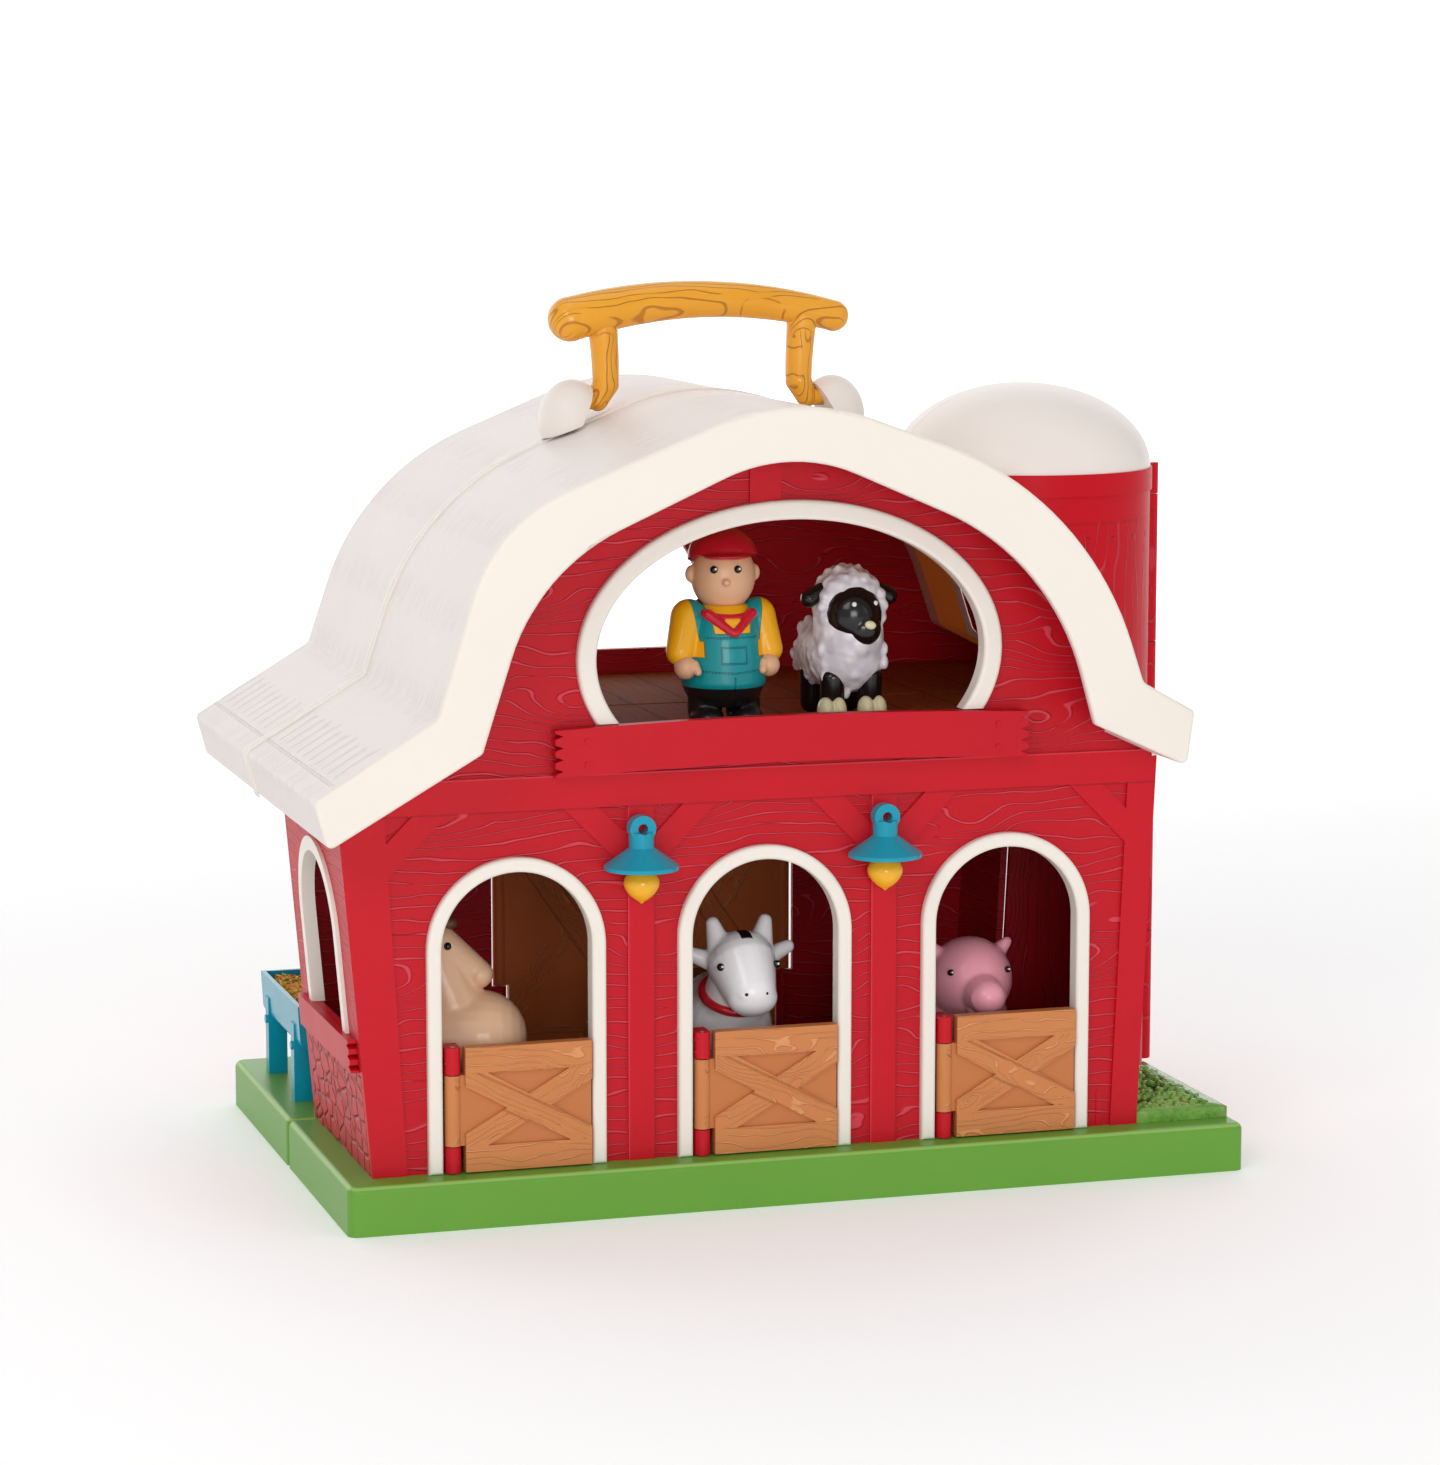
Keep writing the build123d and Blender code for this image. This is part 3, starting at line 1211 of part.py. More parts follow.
with BuildPart() as trough_hay:
    add(trough_section(trough_wall + fit_gap))
    with Locations((trough_x, (trough_front_y + trough_back_y) / 2, trough_top - hay_drop)):
        Box(4 * trough_top_half, 2 * trough_length, 2 * hay_drop, align=(Align.CENTER, Align.CENTER, Align.MIN),
            mode=Mode.SUBTRACT)
    heap_run = trough_length - 2 * (trough_wall + fit_gap + hay_heap_radius)
    for step in range(hay_heap_count):
        heap_y = (trough_front_y + trough_back_y) / 2 + heap_run * (step / (hay_heap_count - 1) - 0.5)
        with Locations((trough_x + (1 if step % 2 else -1), heap_y, trough_top - hay_drop - hay_heap_radius / 2)):
            Sphere(hay_heap_radius)
finish_part(trough_hay.part, "trough_hay")

# ---------------------------------------------------------------- leafy heap in front of the silo
bush_outline = [(134.0, -99.5), (146.0, -101.5), (158.0, -101.0), (167.0, -97.0), (171.5, -88.0),
                (172.4, -70.0), (172.4, -14.0)]
with BuildPart() as bush_front:
    for inset, low, height in ((0, base_top, bush_first_height),
                               (bush_step, base_top + bush_first_height, bush_second_height)):
        with BuildSketch(Plane.XY.offset(low)):
            with BuildLine():
                Polyline(*bush_outline, (silo_x, -14.0), (134.0, -40.0), close=True)
            make_face()
            if inset:
                offset(amount=-inset, mode=Mode.REPLACE)
            with Locations((silo_x, 0)):
                Circle(silo_radius + silo_band_proud + inset / 2, mode=Mode.SUBTRACT)
        extrude(amount=height)
    with BuildSketch(front_plane(-2 * wall_foot)):
        outline([(left_end, base_top - 1, 0), (right_wall_x(base_top - 1) + bush_wall_gap, base_top - 1, 0),
                 (right_wall_x(beam_low) + bush_wall_gap, beam_low, 0), (left_end, beam_low, 0)])
    extrude(amount=-4 * wall_foot, mode=Mode.SUBTRACT)
finish_part(bush_front.part, "bush_front")


# ---------------------------------------------------------------- loose play figures
def blob(point, radius):
    """A ball in the figure that is open."""
    with Locations(point):
        Sphere(radius)


def legs(spots, radius, height):
    """Upright round legs that stand on the floor."""
    with Locations(*[(x, y, 0) for x, y in spots]):
        Cylinder(radius, height, align=(Align.CENTER, Align.CENTER, Align.MIN))


def place_figure(part, place, floor_z, turn, label):
    """Stands a figure on its floor, turned about its own upright axis."""
    finish_part(part.moved(Location((*place, floor_z + figure_lift_gap), (0, 0, turn))), label)


with BuildPart() as farmer:
    legs([(-7.4, -1.0), (7.4, -1.0)], 7.0, 12.0)
    with BuildSketch(Plane.XZ):
        with BuildLine():
            Polyline((0, 8), (15, 8), (15.8, 18), (14.2, 32), (10.5, 41), (9.0, 47), (0, 47), (0, 8))
        make_face()
    revolve(axis=Axis.Z)
    blob((0, 0, 58.0), 11.8)
    blob((0, 0.8, 62.0), 12.3)
    with Locations((0, -7.0, 64.5)):
        Cylinder(9.4, 1.8)
    for way in (-1, 1):
        blob((way * 11.6, 0.5, 57.0), 2.8)
        limb((way * 13.6, 0, 38.5), (way * 16.0, -5.0, 26.0), 5.6, 5.2)
        blob((way * 15.2, -8.0, 22.5), 4.9)
place_figure(farmer.part, farmer_place, loft_floor_top, 0, "farmer")

with BuildPart() as sheep:
    legs([(x, y) for x in (-7.4, 7.4) for y in (-8.0, 17.0)], 5.2, 16.0)
    limb((0, -2.0, 24.0), (0, 17.0, 23.5), 14.6, 14.2)
    limb((0, -5.0, 32.0), (0.5, -3.0, 44.8), 13.4, 13.1)
    blob((1.0, -10.0, 41.2), 10.4)
    for way in (-1, 1):
        blob((way * 13.6, -4.0, 46.0), 3.6)
        blob((way * 7.6, -13.0, 4.8), 4.8)
place_figure(sheep.part, sheep_place, loft_floor_top, 0, "sheep")

with BuildPart() as horse:
    legs([(x, y) for x in (-9.0, 9.0) for y in (-8.0, 12.0)], 6.2, 34.0)
    limb((0, -11.0, 43.0), (0, 10.0, 42.0), 18.0, 17.5)
    limb((0, -2.0, 52.0), (0, 6.0, 73.0), 12.5, 10.5)
    limb((0, 5.0, 77.0), (0, -10.5, 66.5), 9.0, 5.4)
    limb((0, 12.0, 82.0), (0, 17.0, 60.0), 4.4, 4.0)
    limb((0, 23.0, 50.0), (0, 25.5, 30.0), 4.0, 3.4)
    for way in (-1, 1):
        limb((way * 4.6, 6.0, 84.0), (way * 5.2, 7.0, 87.4), 2.9, 2.2)
place_figure(horse.part, horse_place, base_top, horse_turn, "horse")

with BuildPart() as cow:
    legs([(x, y) for x in (-10.0, 10.0) for y in (-7.0, 27.0)], 6.6, 30.0)
    limb((0, -3.0, 38.0), (0, 26.0, 38.0), 18.2, 18.0)
    limb((0.5, -9.0, 46.0), (1.5, -15.0, 60.0), 13.0, 11.6)
    limb((2.0, -19.0, 65.0), (2.0, -27.0, 55.8), 12.8, 9.4)
    for way in (-1, 1):
        limb((2.0 + way * 9.0, -13.0, 70.0), (2.0 + way * 10.8, -12.0, 78.2), 4.4, 3.2)
        limb((2.0 + way * 12.0, -11.5, 66.5), (2.0 + way * 20.2, -10.0, 69.2), 4.0, 2.8)
place_figure(cow.part, cow_place, base_top, 0, "cow")

with BuildPart() as pig:
    legs([(x, y) for x in (-10.0, 10.0) for y in (-3.0, 23.0)], 6.8, 24.0)
    limb((0, 2.0, 35.0), (0, 24.0, 34.0), 19.2, 18.6)
    blob((0, -8.0, 52.6), 17.0)
    with Locations(Plane(origin=(0, -16.0, 49.4), z_dir=(0, -1, 0))):
        Cylinder(7.4, 15.4, align=(Align.CENTER, Align.CENTER, Align.MIN))
    for way in (-1, 1):
        limb((way * 12.0, -6.0, 62.0), (way * 16.4, -7.4, 65.4), 4.2, 2.8)
place_figure(pig.part, pig_place, base_top, 0, "pig")
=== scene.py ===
import math
import random

import bmesh
import bpy
from mathutils import Matrix, Vector


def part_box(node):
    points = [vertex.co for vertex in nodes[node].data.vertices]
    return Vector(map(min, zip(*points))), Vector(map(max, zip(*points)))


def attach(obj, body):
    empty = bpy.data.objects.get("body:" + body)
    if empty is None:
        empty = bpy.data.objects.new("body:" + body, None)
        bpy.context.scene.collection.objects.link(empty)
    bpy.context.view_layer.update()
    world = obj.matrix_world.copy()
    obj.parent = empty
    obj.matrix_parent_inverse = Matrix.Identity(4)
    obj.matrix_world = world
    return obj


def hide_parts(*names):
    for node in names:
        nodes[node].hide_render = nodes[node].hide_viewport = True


# Toy barn with opening doors: finishes, figures, hay, bush, lights and camera. Pieces are built
# in millimetres and scaled to metres. X runs right along the front, Y to the back and Z up.

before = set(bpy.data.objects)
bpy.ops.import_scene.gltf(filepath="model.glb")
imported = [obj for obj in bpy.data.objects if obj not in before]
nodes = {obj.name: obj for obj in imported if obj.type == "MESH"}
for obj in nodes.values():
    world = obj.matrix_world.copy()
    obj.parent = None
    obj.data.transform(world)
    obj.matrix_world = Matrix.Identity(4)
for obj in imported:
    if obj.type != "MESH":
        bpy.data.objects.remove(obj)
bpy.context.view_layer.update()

MM = 0.001

# Places on the barn, in millimetres
BARN_CENTER = -14.4
TIMBER_FRONT = -101.1
BEAM_LOW = 151.0
BEAM_HIGH = 163.4
SILO_X = 124.0
SILO_RADIUS = 51.0
SIDE_PLANK_LOW = 57.0


# ---------------------------------------------------------------- shader maths
def paint(red, green, blue):
    """A colour from its 0 to 255 screen values."""
    parts = [c / 255 for c in (red, green, blue)]
    return tuple(c / 12.92 if c <= 0.04045 else ((c + 0.055) / 1.055) ** 2.4 for c in parts) + (1.0,)


class Field:
    """A number that varies over a surface. Operators add the Math nodes for it."""

    def __init__(self, finish, socket):
        self.finish = finish
        self.socket = socket

    def math(self, operation, *others):
        terms = dict(enumerate((self, *others)))
        return self.finish.node("ShaderNodeMath", {"operation": operation}, terms)

    def __add__(self, other):
        return self.math("ADD", other)

    def __sub__(self, other):
        return self.math("SUBTRACT", other)

    def __rsub__(self, other):
        return self.finish.node("ShaderNodeMath", {"operation": "SUBTRACT"}, {0: other, 1: self})

    def __mul__(self, other):
        return self.math("MULTIPLY", other)

    def __truediv__(self, other):
        return self.math("DIVIDE", other)

    def __mod__(self, other):
        return self.math("FLOORED_MODULO", other)

    def __abs__(self):
        return self.math("ABSOLUTE")

    __radd__ = __add__


class Finish:
    """A material that is built node by node."""

    def __init__(self, name):
        self.material = bpy.data.materials.new(name)
        self.material.use_nodes = True
        self.tree = self.material.node_tree
        self.tree.nodes.clear()

    def node(self, kind, settings=None, inputs=None, output=0):
        made = self.tree.nodes.new(kind)
        for key, value in (settings or {}).items():
            if key == "stops":
                stops = made.color_ramp.elements
                stops[0].position, stops[0].color = value[0]
                stops[1].position, stops[1].color = value[-1]
                for position, colour in value[1:-1]:
                    stops.new(position).color = colour
            else:
                setattr(made, key, value)
        for key, value in (inputs or {}).items():
            if isinstance(value, Field):
                self.tree.links.new(value.socket, made.inputs[key])
            else:
                made.inputs[key].default_value = value
        return Field(self, made.outputs[output])

    def place(self, feet=(0, 0, 0), turn=0.0):
        """The point on the piece in millimetres, seen from feet and turned about Z."""
        return self.node("ShaderNodeMapping", {"vector_type": "TEXTURE"}, {
            "Vector": self.node("ShaderNodeTexCoord", output="Object"),
            "Location": [c * MM for c in feet], "Rotation": (0, 0, turn), "Scale": (MM, MM, MM)})

    def parts(self, vector):
        split = self.node("ShaderNodeSeparateXYZ", inputs={0: vector})
        return [Field(self, split.socket.node.outputs[i]) for i in range(3)]

    def normal(self):
        """The normal in the piece's own frame, so that a finish stays put when its piece swings."""
        return self.parts(self.node("ShaderNodeTexCoord", output="Normal"))

    def point(self, x, y, z=0.0):
        return self.node("ShaderNodeCombineXYZ", inputs={0: x, 1: y, 2: z})

    def noise(self, point, scale=1.0, detail=2.0, roughness=0.5):
        return self.node("ShaderNodeTexNoise", inputs={
            "Vector": point, "Scale": scale, "Detail": detail, "Roughness": roughness})

    def ramp(self, value, low, high):
        """0 below low and 1 above high, smoothly. low may be over high."""
        return self.node("ShaderNodeMapRange", {"interpolation_type": "SMOOTHSTEP"}, {
            "Value": value, "From Min": low, "From Max": high})

    def angle(self, up, along):
        return self.node("ShaderNodeMath", {"operation": "ARCTAN2"}, {0: up, 1: along})

    def larger(self, first, *others):
        for other in others:
            first = self.node("ShaderNodeMath", {"operation": "MAXIMUM"}, {0: first, 1: other})
        return first

    def mix(self, factor, first, second):
        return self.node("ShaderNodeMix", {"data_type": "RGBA"}, {0: factor, 6: first, 7: second}, 2)

    def surface(self, colour, roughness=0.4, height=None, depth=0.3, **constants):
        """The shader. height is 0 to 1, and depth is how far it rises in millimetres."""
        shader = self.node("ShaderNodeBsdfPrincipled", inputs={
            "Base Color": colour, "Roughness": roughness, "Specular IOR Level": 0.3,
            **{key.replace("_", " "): value for key, value in constants.items()}})
        if height is not None:
            bump = self.node("ShaderNodeBump", inputs={
                "Height": height, "Distance": depth * MM, "Strength": 1.0})
            self.tree.links.new(bump.socket, shader.socket.node.inputs["Normal"])
        out = self.tree.nodes.new("ShaderNodeOutputMaterial")
        self.tree.links.new(shader.socket, out.inputs["Surface"])
        return self


def grain(finish, along, across, spacing, width, seed, knot=(60.0, 22.0), wander=1.8,
          broken=(0.40, 0.50)):
    """1 in the thin lines of moulded wood grain that run along a board and loop round its knots.

    knot is how far apart knots are, and broken is the noise where a line ends and begins."""
    drift = finish.noise(finish.point(along / (spacing * 11), across / (spacing * 4), seed), 1, 2)
    drift = drift - 0.5
    cell = finish.point(along / knot[0], across / knot[1], seed + 3.7)
    away = finish.node("ShaderNodeTexVoronoi", inputs={"Vector": cell, "Scale": 1.0}, output="Distance")
    loop = finish.ramp(away, 0.55, 0.0)
    level = across + drift * (wander * spacing * 2) + loop * (spacing * 2.6)
    cut = abs((level / spacing) % 1.0 - 0.5) * spacing
    gaps = finish.point(along / (spacing * 7), across / (spacing * 1.1), seed + 8.1)
    return finish.ramp(cut, width, width * 0.35) * finish.ramp(finish.noise(gaps, 1, 1), *broken)


def plain(name, colour, roughness=0.4, mottle=0.04, **constants):
    """Moulded plastic of one colour with a faint flow mottle and a fine skin."""
    finish = Finish(name)
    point = finish.place()
    cloud = finish.noise(point, 0.03, 3)
    low = tuple(c * (1 - mottle) for c in colour[:3]) + (1.0,)
    high = tuple(min(1.0, c * (1 + mottle)) for c in colour[:3]) + (1.0,)
    skin = finish.noise(point, 1.1, 2)
    rough = roughness + (cloud - 0.5) * 0.12
    return finish.surface(finish.mix(cloud, low, high), rough, skin, 0.012, **constants)


# ---------------------------------------------------------------- finishes of the moulded parts
def red_plastic(finish, marks, shade, height, marks_share, gloss):
    """Red plastic with pale marks where its relief catches the light, darker in shade."""
    point = finish.place()
    cloud = finish.noise(point, 0.02, 3)
    base = finish.mix(cloud, paint(192, 6, 26), paint(204, 12, 34))
    base = finish.mix(shade * 0.6, base, paint(150, 8, 24))
    colour = finish.mix(marks * marks_share, base, paint(226, 84, 100))
    height = height + finish.noise(point, 1.3, 2) * 0.04
    return finish.surface(colour, 0.42 + (cloud - 0.5) * 0.1, height, 0.6, Specular_IOR_Level=gloss)


def silo_boards():
    """Red silo with upright grain that ends under a painted shade line, and a row of rivets below the
    line.
    """
    grain_top, line_z, rivet_z, rivet_spacing, rivet_radius = 246.0, 244.4, 238.0, 13.0, 1.5
    finish = Finish("silo_red")
    x, y, z = finish.parts(finish.place())
    around = finish.angle(y, x - SILO_X) * SILO_RADIUS
    marks = grain(finish, z, around, 5.4, 0.6, 2.0, knot=(46.0, 17.0), broken=(0.36, 0.44))
    marks = marks * finish.ramp(z, grain_top, grain_top - 3.0)
    rivet = finish.point(((around / rivet_spacing) % 1.0 - 0.5) * rivet_spacing, z - rivet_z)
    away = finish.node("ShaderNodeVectorMath", {"operation": "LENGTH"}, {0: rivet}, "Value")
    height = marks + finish.ramp(away, rivet_radius, rivet_radius * 0.4)
    shade = finish.ramp(abs(z - line_z), 0.9, 0.4) * 0.5
    return red_plastic(finish, marks, shade, height, 0.3, 0.15)


def wall_boards():
    """Red walls: grain on the boards, painted highlight and shade lines on the timbers, stones low on
    the left.
    """
    beam_edges = (BEAM_LOW - 0.2, BEAM_HIGH - 0.2)
    post_shade_edges, post_highlight_edges = (-56.8, 37.4), (-66.9, 27.3)
    stone_top, stone_right = 56.0, -150.0
    finish = Finish("barn_red")
    x, y, z = finish.parts(finish.place())
    nx, ny = finish.normal()[:2]
    forward = finish.ramp(ny, -0.9, -0.95)
    sideways = finish.ramp(abs(nx), 0.85, 0.92)

    front = forward * finish.ramp(y, TIMBER_FRONT + 0.2, TIMBER_FRONT + 0.7)
    back = finish.ramp(ny, 0.9, 0.95) * finish.ramp(z, 20, 24)
    side = sideways * finish.ramp(z, SIDE_PLANK_LOW, SIDE_PLANK_LOW + 1.0)
    inside = finish.ramp(abs(ny), 0.9, 0.95) * finish.ramp(y, TIMBER_FRONT + 1.6, TIMBER_FRONT + 2.1)
    boards = finish.larger(front, back, side, inside)
    marks = grain(finish, x + y, z, 4.6, 0.52, 1.0, knot=(52.0, 22.0), wander=1.5, broken=(0.30, 0.36))
    marks = marks * boards

    stones = sideways * finish.ramp(z, stone_top, stone_top - 1.0) * finish.ramp(y, -98.0, -97.0)
    stones = stones * finish.ramp(y, -1.0, -2.0) * finish.ramp(x, stone_right, stone_right - 1.0)
    joint = finish.node("ShaderNodeTexVoronoi", {"feature": "DISTANCE_TO_EDGE"}, {
        "Vector": finish.point(y / 11.0, z / 6.5, 2.2), "Scale": 1.0, "Randomness": 0.75}, "Distance")
    height = marks + stones * finish.ramp(joint, 0.03, 0.16) * 2.0
    # The stones' joints are darker in their own colour; the boards, set back behind the timbers, get a
    # little painted shade.
    shade = finish.larger(stones * finish.ramp(joint, 0.14, 0.03), boards * 0.2)

    # Painted shade under the beam and along each post's right edge; painted highlight over the beam and
    # along each post's left edge.
    facing = forward * finish.ramp(y, TIMBER_FRONT + 2.1, TIMBER_FRONT + 1.6)
    lower = finish.ramp(z, BEAM_LOW, BEAM_LOW - 1.0) * facing
    painted_post_shade = [finish.ramp(abs(x - edge), 0.55, 0.3) * lower for edge in post_shade_edges]
    painted_post_highlights = [finish.ramp(abs(x - edge), 0.5, 0.25) * lower for edge in post_highlight_edges]
    painted_shade_under_beam = finish.ramp(abs(z - beam_edges[0]), 0.5, 0.25) * facing
    painted_highlight_over_beam = finish.ramp(abs(z - beam_edges[1]), 0.45, 0.2) * facing
    shade = finish.larger(shade, painted_shade_under_beam, *painted_post_shade)
    marks = finish.larger(marks, painted_highlight_over_beam * 0.7, *[edge * 0.6 for edge in painted_post_highlights])
    return red_plastic(finish, marks, shade, height, 0.55, 0.25)


barn_red = wall_boards()
silo_red = silo_boards()
timber_red = plain("timber_red", paint(196, 10, 32), 0.38, 0.05, Specular_IOR_Level=0.25)


def roof_cream():
    """Cream roof skin with thatch strokes in rows, and amber with a painted glow where it is seen from
    inside.
    """
    turn_z, turn_radius, row_pitch, eave_pitch = 150.0, 150.0, 36.0, 11.0
    comb_top, comb_foot, dash_out = 157.0, 165.0, 167.0
    finish = Finish("roof_cream")
    point = finish.place()
    x, y, z = finish.parts(point)
    nx, ny, nz = finish.normal()
    out = x - BARN_CENTER
    slope = finish.angle(abs(out), z - turn_z) * turn_radius

    lean = finish.noise(finish.point(slope / 26.0, y / 9.0, 7.0), 1, 1) * 7.0
    cut = abs(((y + lean) / 4.2) % 1.0 - 0.5) * 4.2
    reach = finish.noise(finish.point(y / 4.0, 3.0, 4.0), 1, 1)
    row = (slope / row_pitch + reach * 0.35 + 0.42) % 1.0
    some = finish.noise(finish.point(slope / 30.0, y / 3.6, 1.0), 1, 0)
    stroke = finish.ramp(cut, 0.7, 0.2) * finish.ramp(row, 0.5, 0.78) * finish.ramp(some, 0.40, 0.48)
    tooth = abs((y / eave_pitch) % 1.0 - 0.5) * eave_pitch
    comb = finish.ramp(tooth + (abs(out) - 152.0) * 0.08, 2.2, 1.4)
    comb = comb * finish.ramp(abs(out), comb_foot, comb_foot - 1.0)
    comb = comb * finish.ramp(abs(out) + reach * 14.0, comb_top, comb_top + 1.5)
    dash = finish.ramp(abs(abs(out) - dash_out), 0.7, 0.35) * finish.ramp((y / 5.0) % 1.0, 0.22, 0.3)
    bead_and_highlight = finish.ramp(abs(abs(y) - 2.2), 1.1, 0.6)
    fine = finish.ramp(finish.noise(finish.point(slope / 8.0, y / 0.9, 5.0), 1, 2), 0.45, 0.62)

    top = finish.ramp(abs(ny), 0.4, 0.2)
    inward = finish.ramp(out * nx + (z - 160.0) * nz, 2.0, -2.0)
    within = inward * finish.ramp(abs(y + 8.0), 94.0, 92.0) * top
    clear = finish.ramp(y, -124.0, -122.0) * finish.ramp(abs(y), 3.0, 4.0) * top * (1.0 - inward)
    marks = finish.larger(stroke * 0.6, comb, dash) * clear

    cloud = finish.noise(point, 0.02, 3)
    face = finish.mix(cloud, paint(238, 229, 219), paint(243, 235, 225))
    colour = finish.mix(cloud, paint(228, 218, 213), paint(235, 226, 221))
    colour = finish.mix(fine * 0.25, colour, paint(242, 236, 230))
    colour = finish.mix(top, face, colour)
    colour = finish.mix(marks * 0.35, colour, paint(206, 195, 188))
    # The seam's bead is raised by the bump and painted lighter as a highlight.
    colour = finish.mix(bead_and_highlight * top * 0.8, colour, paint(247, 242, 236))
    # Inside the roof: amber with a faint emission, a painted glow of the light that comes through the
    # roof.
    colour = finish.mix(within, colour, paint(214, 140, 62))
    glow = finish.mix(within, (0, 0, 0, 1), paint(120, 62, 20))
    height = 1.0 - marks + fine * 0.08 * top + bead_and_highlight * top * 0.6
    return finish.surface(colour, 0.42, height, 0.45, Subsurface_Weight=0.06,
                          Subsurface_Radius=(0.004, 0.003, 0.002), Subsurface_Scale=1.0,
                          Emission_Color=glow, Emission_Strength=0.35)


roof_skin = roof_cream()
trim_cream = plain("trim_cream", paint(240, 233, 223), 0.34, 0.02)
dome_cream = plain("dome_cream", paint(238, 229, 222), 0.36, 0.03)


def base_plastic():
    """Grass green plastic, with a painted highlight along the rounded upper edge."""
    finish = Finish("base_green")
    point = finish.place()
    up = finish.normal()[2]
    cloud = finish.noise(point, 0.02, 3)
    # A painted highlight on the rounded upper edge, found by its normal.
    edge = finish.ramp(abs(up - 0.72), 0.26, 0.12)
    colour = finish.mix(cloud, paint(98, 156, 52), paint(108, 164, 62))
    colour = finish.mix(edge * 0.55, colour, paint(170, 206, 116))
    return finish.surface(colour, 0.36 + (cloud - 0.5) * 0.1, finish.noise(point, 0.9, 2), 0.02)


base_green = base_plastic()
teal = plain("teal", paint(0, 152, 178), 0.26, 0.03, Coat_Weight=0.15, Coat_Roughness=0.12)
bulb_amber = plain("bulb_amber", paint(246, 182, 38), 0.2, 0.03, Coat_Weight=0.4, Coat_Roughness=0.08)
steel = plain("steel", paint(196, 198, 202), 0.28, 0.03, Metallic=1.0)


def door_brown(name, middle_x, half_width, low, high, rail_height, brace_width, face_y, tones_and_bounce):
    """Caramel plastic with grain along the rails and cross braces of one door, and painted shade.

    The braces run from corner to corner between the rails. Grain is drawn only in front of
    face_y, so a face_y beyond the door puts it on both of its faces."""
    finish = Finish(name)
    point = finish.place()
    x, y, z = finish.parts(point)
    across = x - middle_x
    up = z - (low + high) / 2
    half_brace = brace_width / 2
    half_panel = (high - low) / 2 - rail_height
    lean = math.atan2(2 * half_panel, 2 * half_width)
    gaps = {"broken": (0.34, 0.42)}

    rail = finish.ramp(abs(up), half_panel - 0.2, half_panel + 0.2)
    raised = finish.ramp(y, face_y + 0.2, face_y - 0.2)
    flat = grain(finish, across, z, 2.9, 0.36, middle_x / 7, knot=(34.0, 12.0), **gaps)
    down_right = across * math.sin(lean) + up * math.cos(lean)
    along_down = across * math.cos(lean) - up * math.sin(lean)
    down_left = across * math.sin(lean) - up * math.cos(lean)
    along_up = across * math.cos(lean) + up * math.sin(lean)
    over = grain(finish, along_down, down_right, 2.5, 0.34, middle_x / 9, knot=(40.0, 14.0), **gaps)
    under = grain(finish, along_up, down_left, 2.6, 0.34, middle_x / 5, knot=(15.0, 7.0), **gaps)
    on_over = finish.ramp(abs(down_right), half_brace + 0.2, half_brace - 0.2)
    on_under = finish.ramp(abs(down_left), half_brace + 0.2, half_brace - 0.2)
    marks = flat * rail + (over * on_over + under * on_under * (1.0 - on_over)) * (1.0 - rail)
    marks = marks * raised * finish.ramp(across, -half_width - 0.5, -half_width + 0.5)
    brace_rim_and_shade = finish.ramp(abs(abs(down_right) - half_brace), 0.5, 0.25) * (1.0 - rail)
    brace_rim_and_shade = brace_rim_and_shade * raised * finish.ramp(abs(across), half_width, half_width - 1.0)

    cloud = finish.noise(point, 0.05, 3)
    colour = finish.mix(cloud, paint(*tones_and_bounce[0]), paint(*tones_and_bounce[1]))
    # Painted shade on the sunk panel behind face_y, and painted shade lines along the edges of the
    # brace that crosses on top.
    colour = finish.mix((1.0 - raised) * 0.35, colour, paint(180, 102, 54))
    colour = finish.mix(brace_rim_and_shade * 0.5, colour, paint(162, 88, 44))
    colour = finish.mix(marks * 0.45, colour, paint(238, 172, 122))
    return finish.surface(colour, 0.4, marks - brace_rim_and_shade * 0.6, 0.35)


def floor_boards():
    """Brown loft floor with boards that run from front to back."""
    board_width = 24.0
    finish = Finish("loft_boards")
    point = finish.place()
    x, y = finish.parts(point)[:2]
    joint = abs((x / board_width) % 1.0 - 0.5) * board_width
    groove = grain(finish, y, x, 4.2, 0.4, 3.0) * 0.6 + finish.ramp(joint, 0.7, 0.3)
    cloud = finish.noise(point, 0.03, 3)
    colour = finish.mix(cloud, paint(140, 74, 36), paint(156, 86, 44))
    colour = finish.mix(groove * 0.5, colour, paint(88, 42, 20))
    return finish.surface(colour, 0.7, 1.0 - groove, 0.4, Specular_IOR_Level=0.1)


def handle_wood():
    """Amber plastic with dark grain lines that run along the bar and its legs."""
    bar_low = 316.0
    finish = Finish("handle_wood")
    point = finish.place()
    x, y, z = finish.parts(point)
    on_bar = finish.ramp(z, bar_low, bar_low + 4.0)
    bar = grain(finish, x, z * 0.8 + y, 3.4, 0.3, 6.0, knot=(40.0, 9.0), broken=(0.34, 0.44))
    leg = grain(finish, z, x + y, 3.2, 0.3, 9.0, knot=(24.0, 8.0), broken=(0.34, 0.44))
    marks = bar * on_bar + leg * (1.0 - on_bar)
    cloud = finish.noise(point, 0.04, 3)
    colour = finish.mix(cloud, paint(232, 156, 34), paint(244, 172, 48))
    colour = finish.mix(marks * 0.7, colour, paint(176, 102, 20))
    return finish.surface(colour, 0.28, 1.0 - marks, 0.3, Coat_Weight=0.3, Coat_Roughness=0.12)


door_finishes = {}
for name, leaf_x in (("door_left", -107.7), ("door_middle", -12.8), ("door_right", 82.4)):
    door_finishes[name] = door_brown(
        name + "_brown", leaf_x, 26.0, low=19.0, high=65.3, rail_height=9.6, brace_width=8.2,
        face_y=-103.1, tones_and_bounce=((200, 124, 70), (211, 134, 80)))
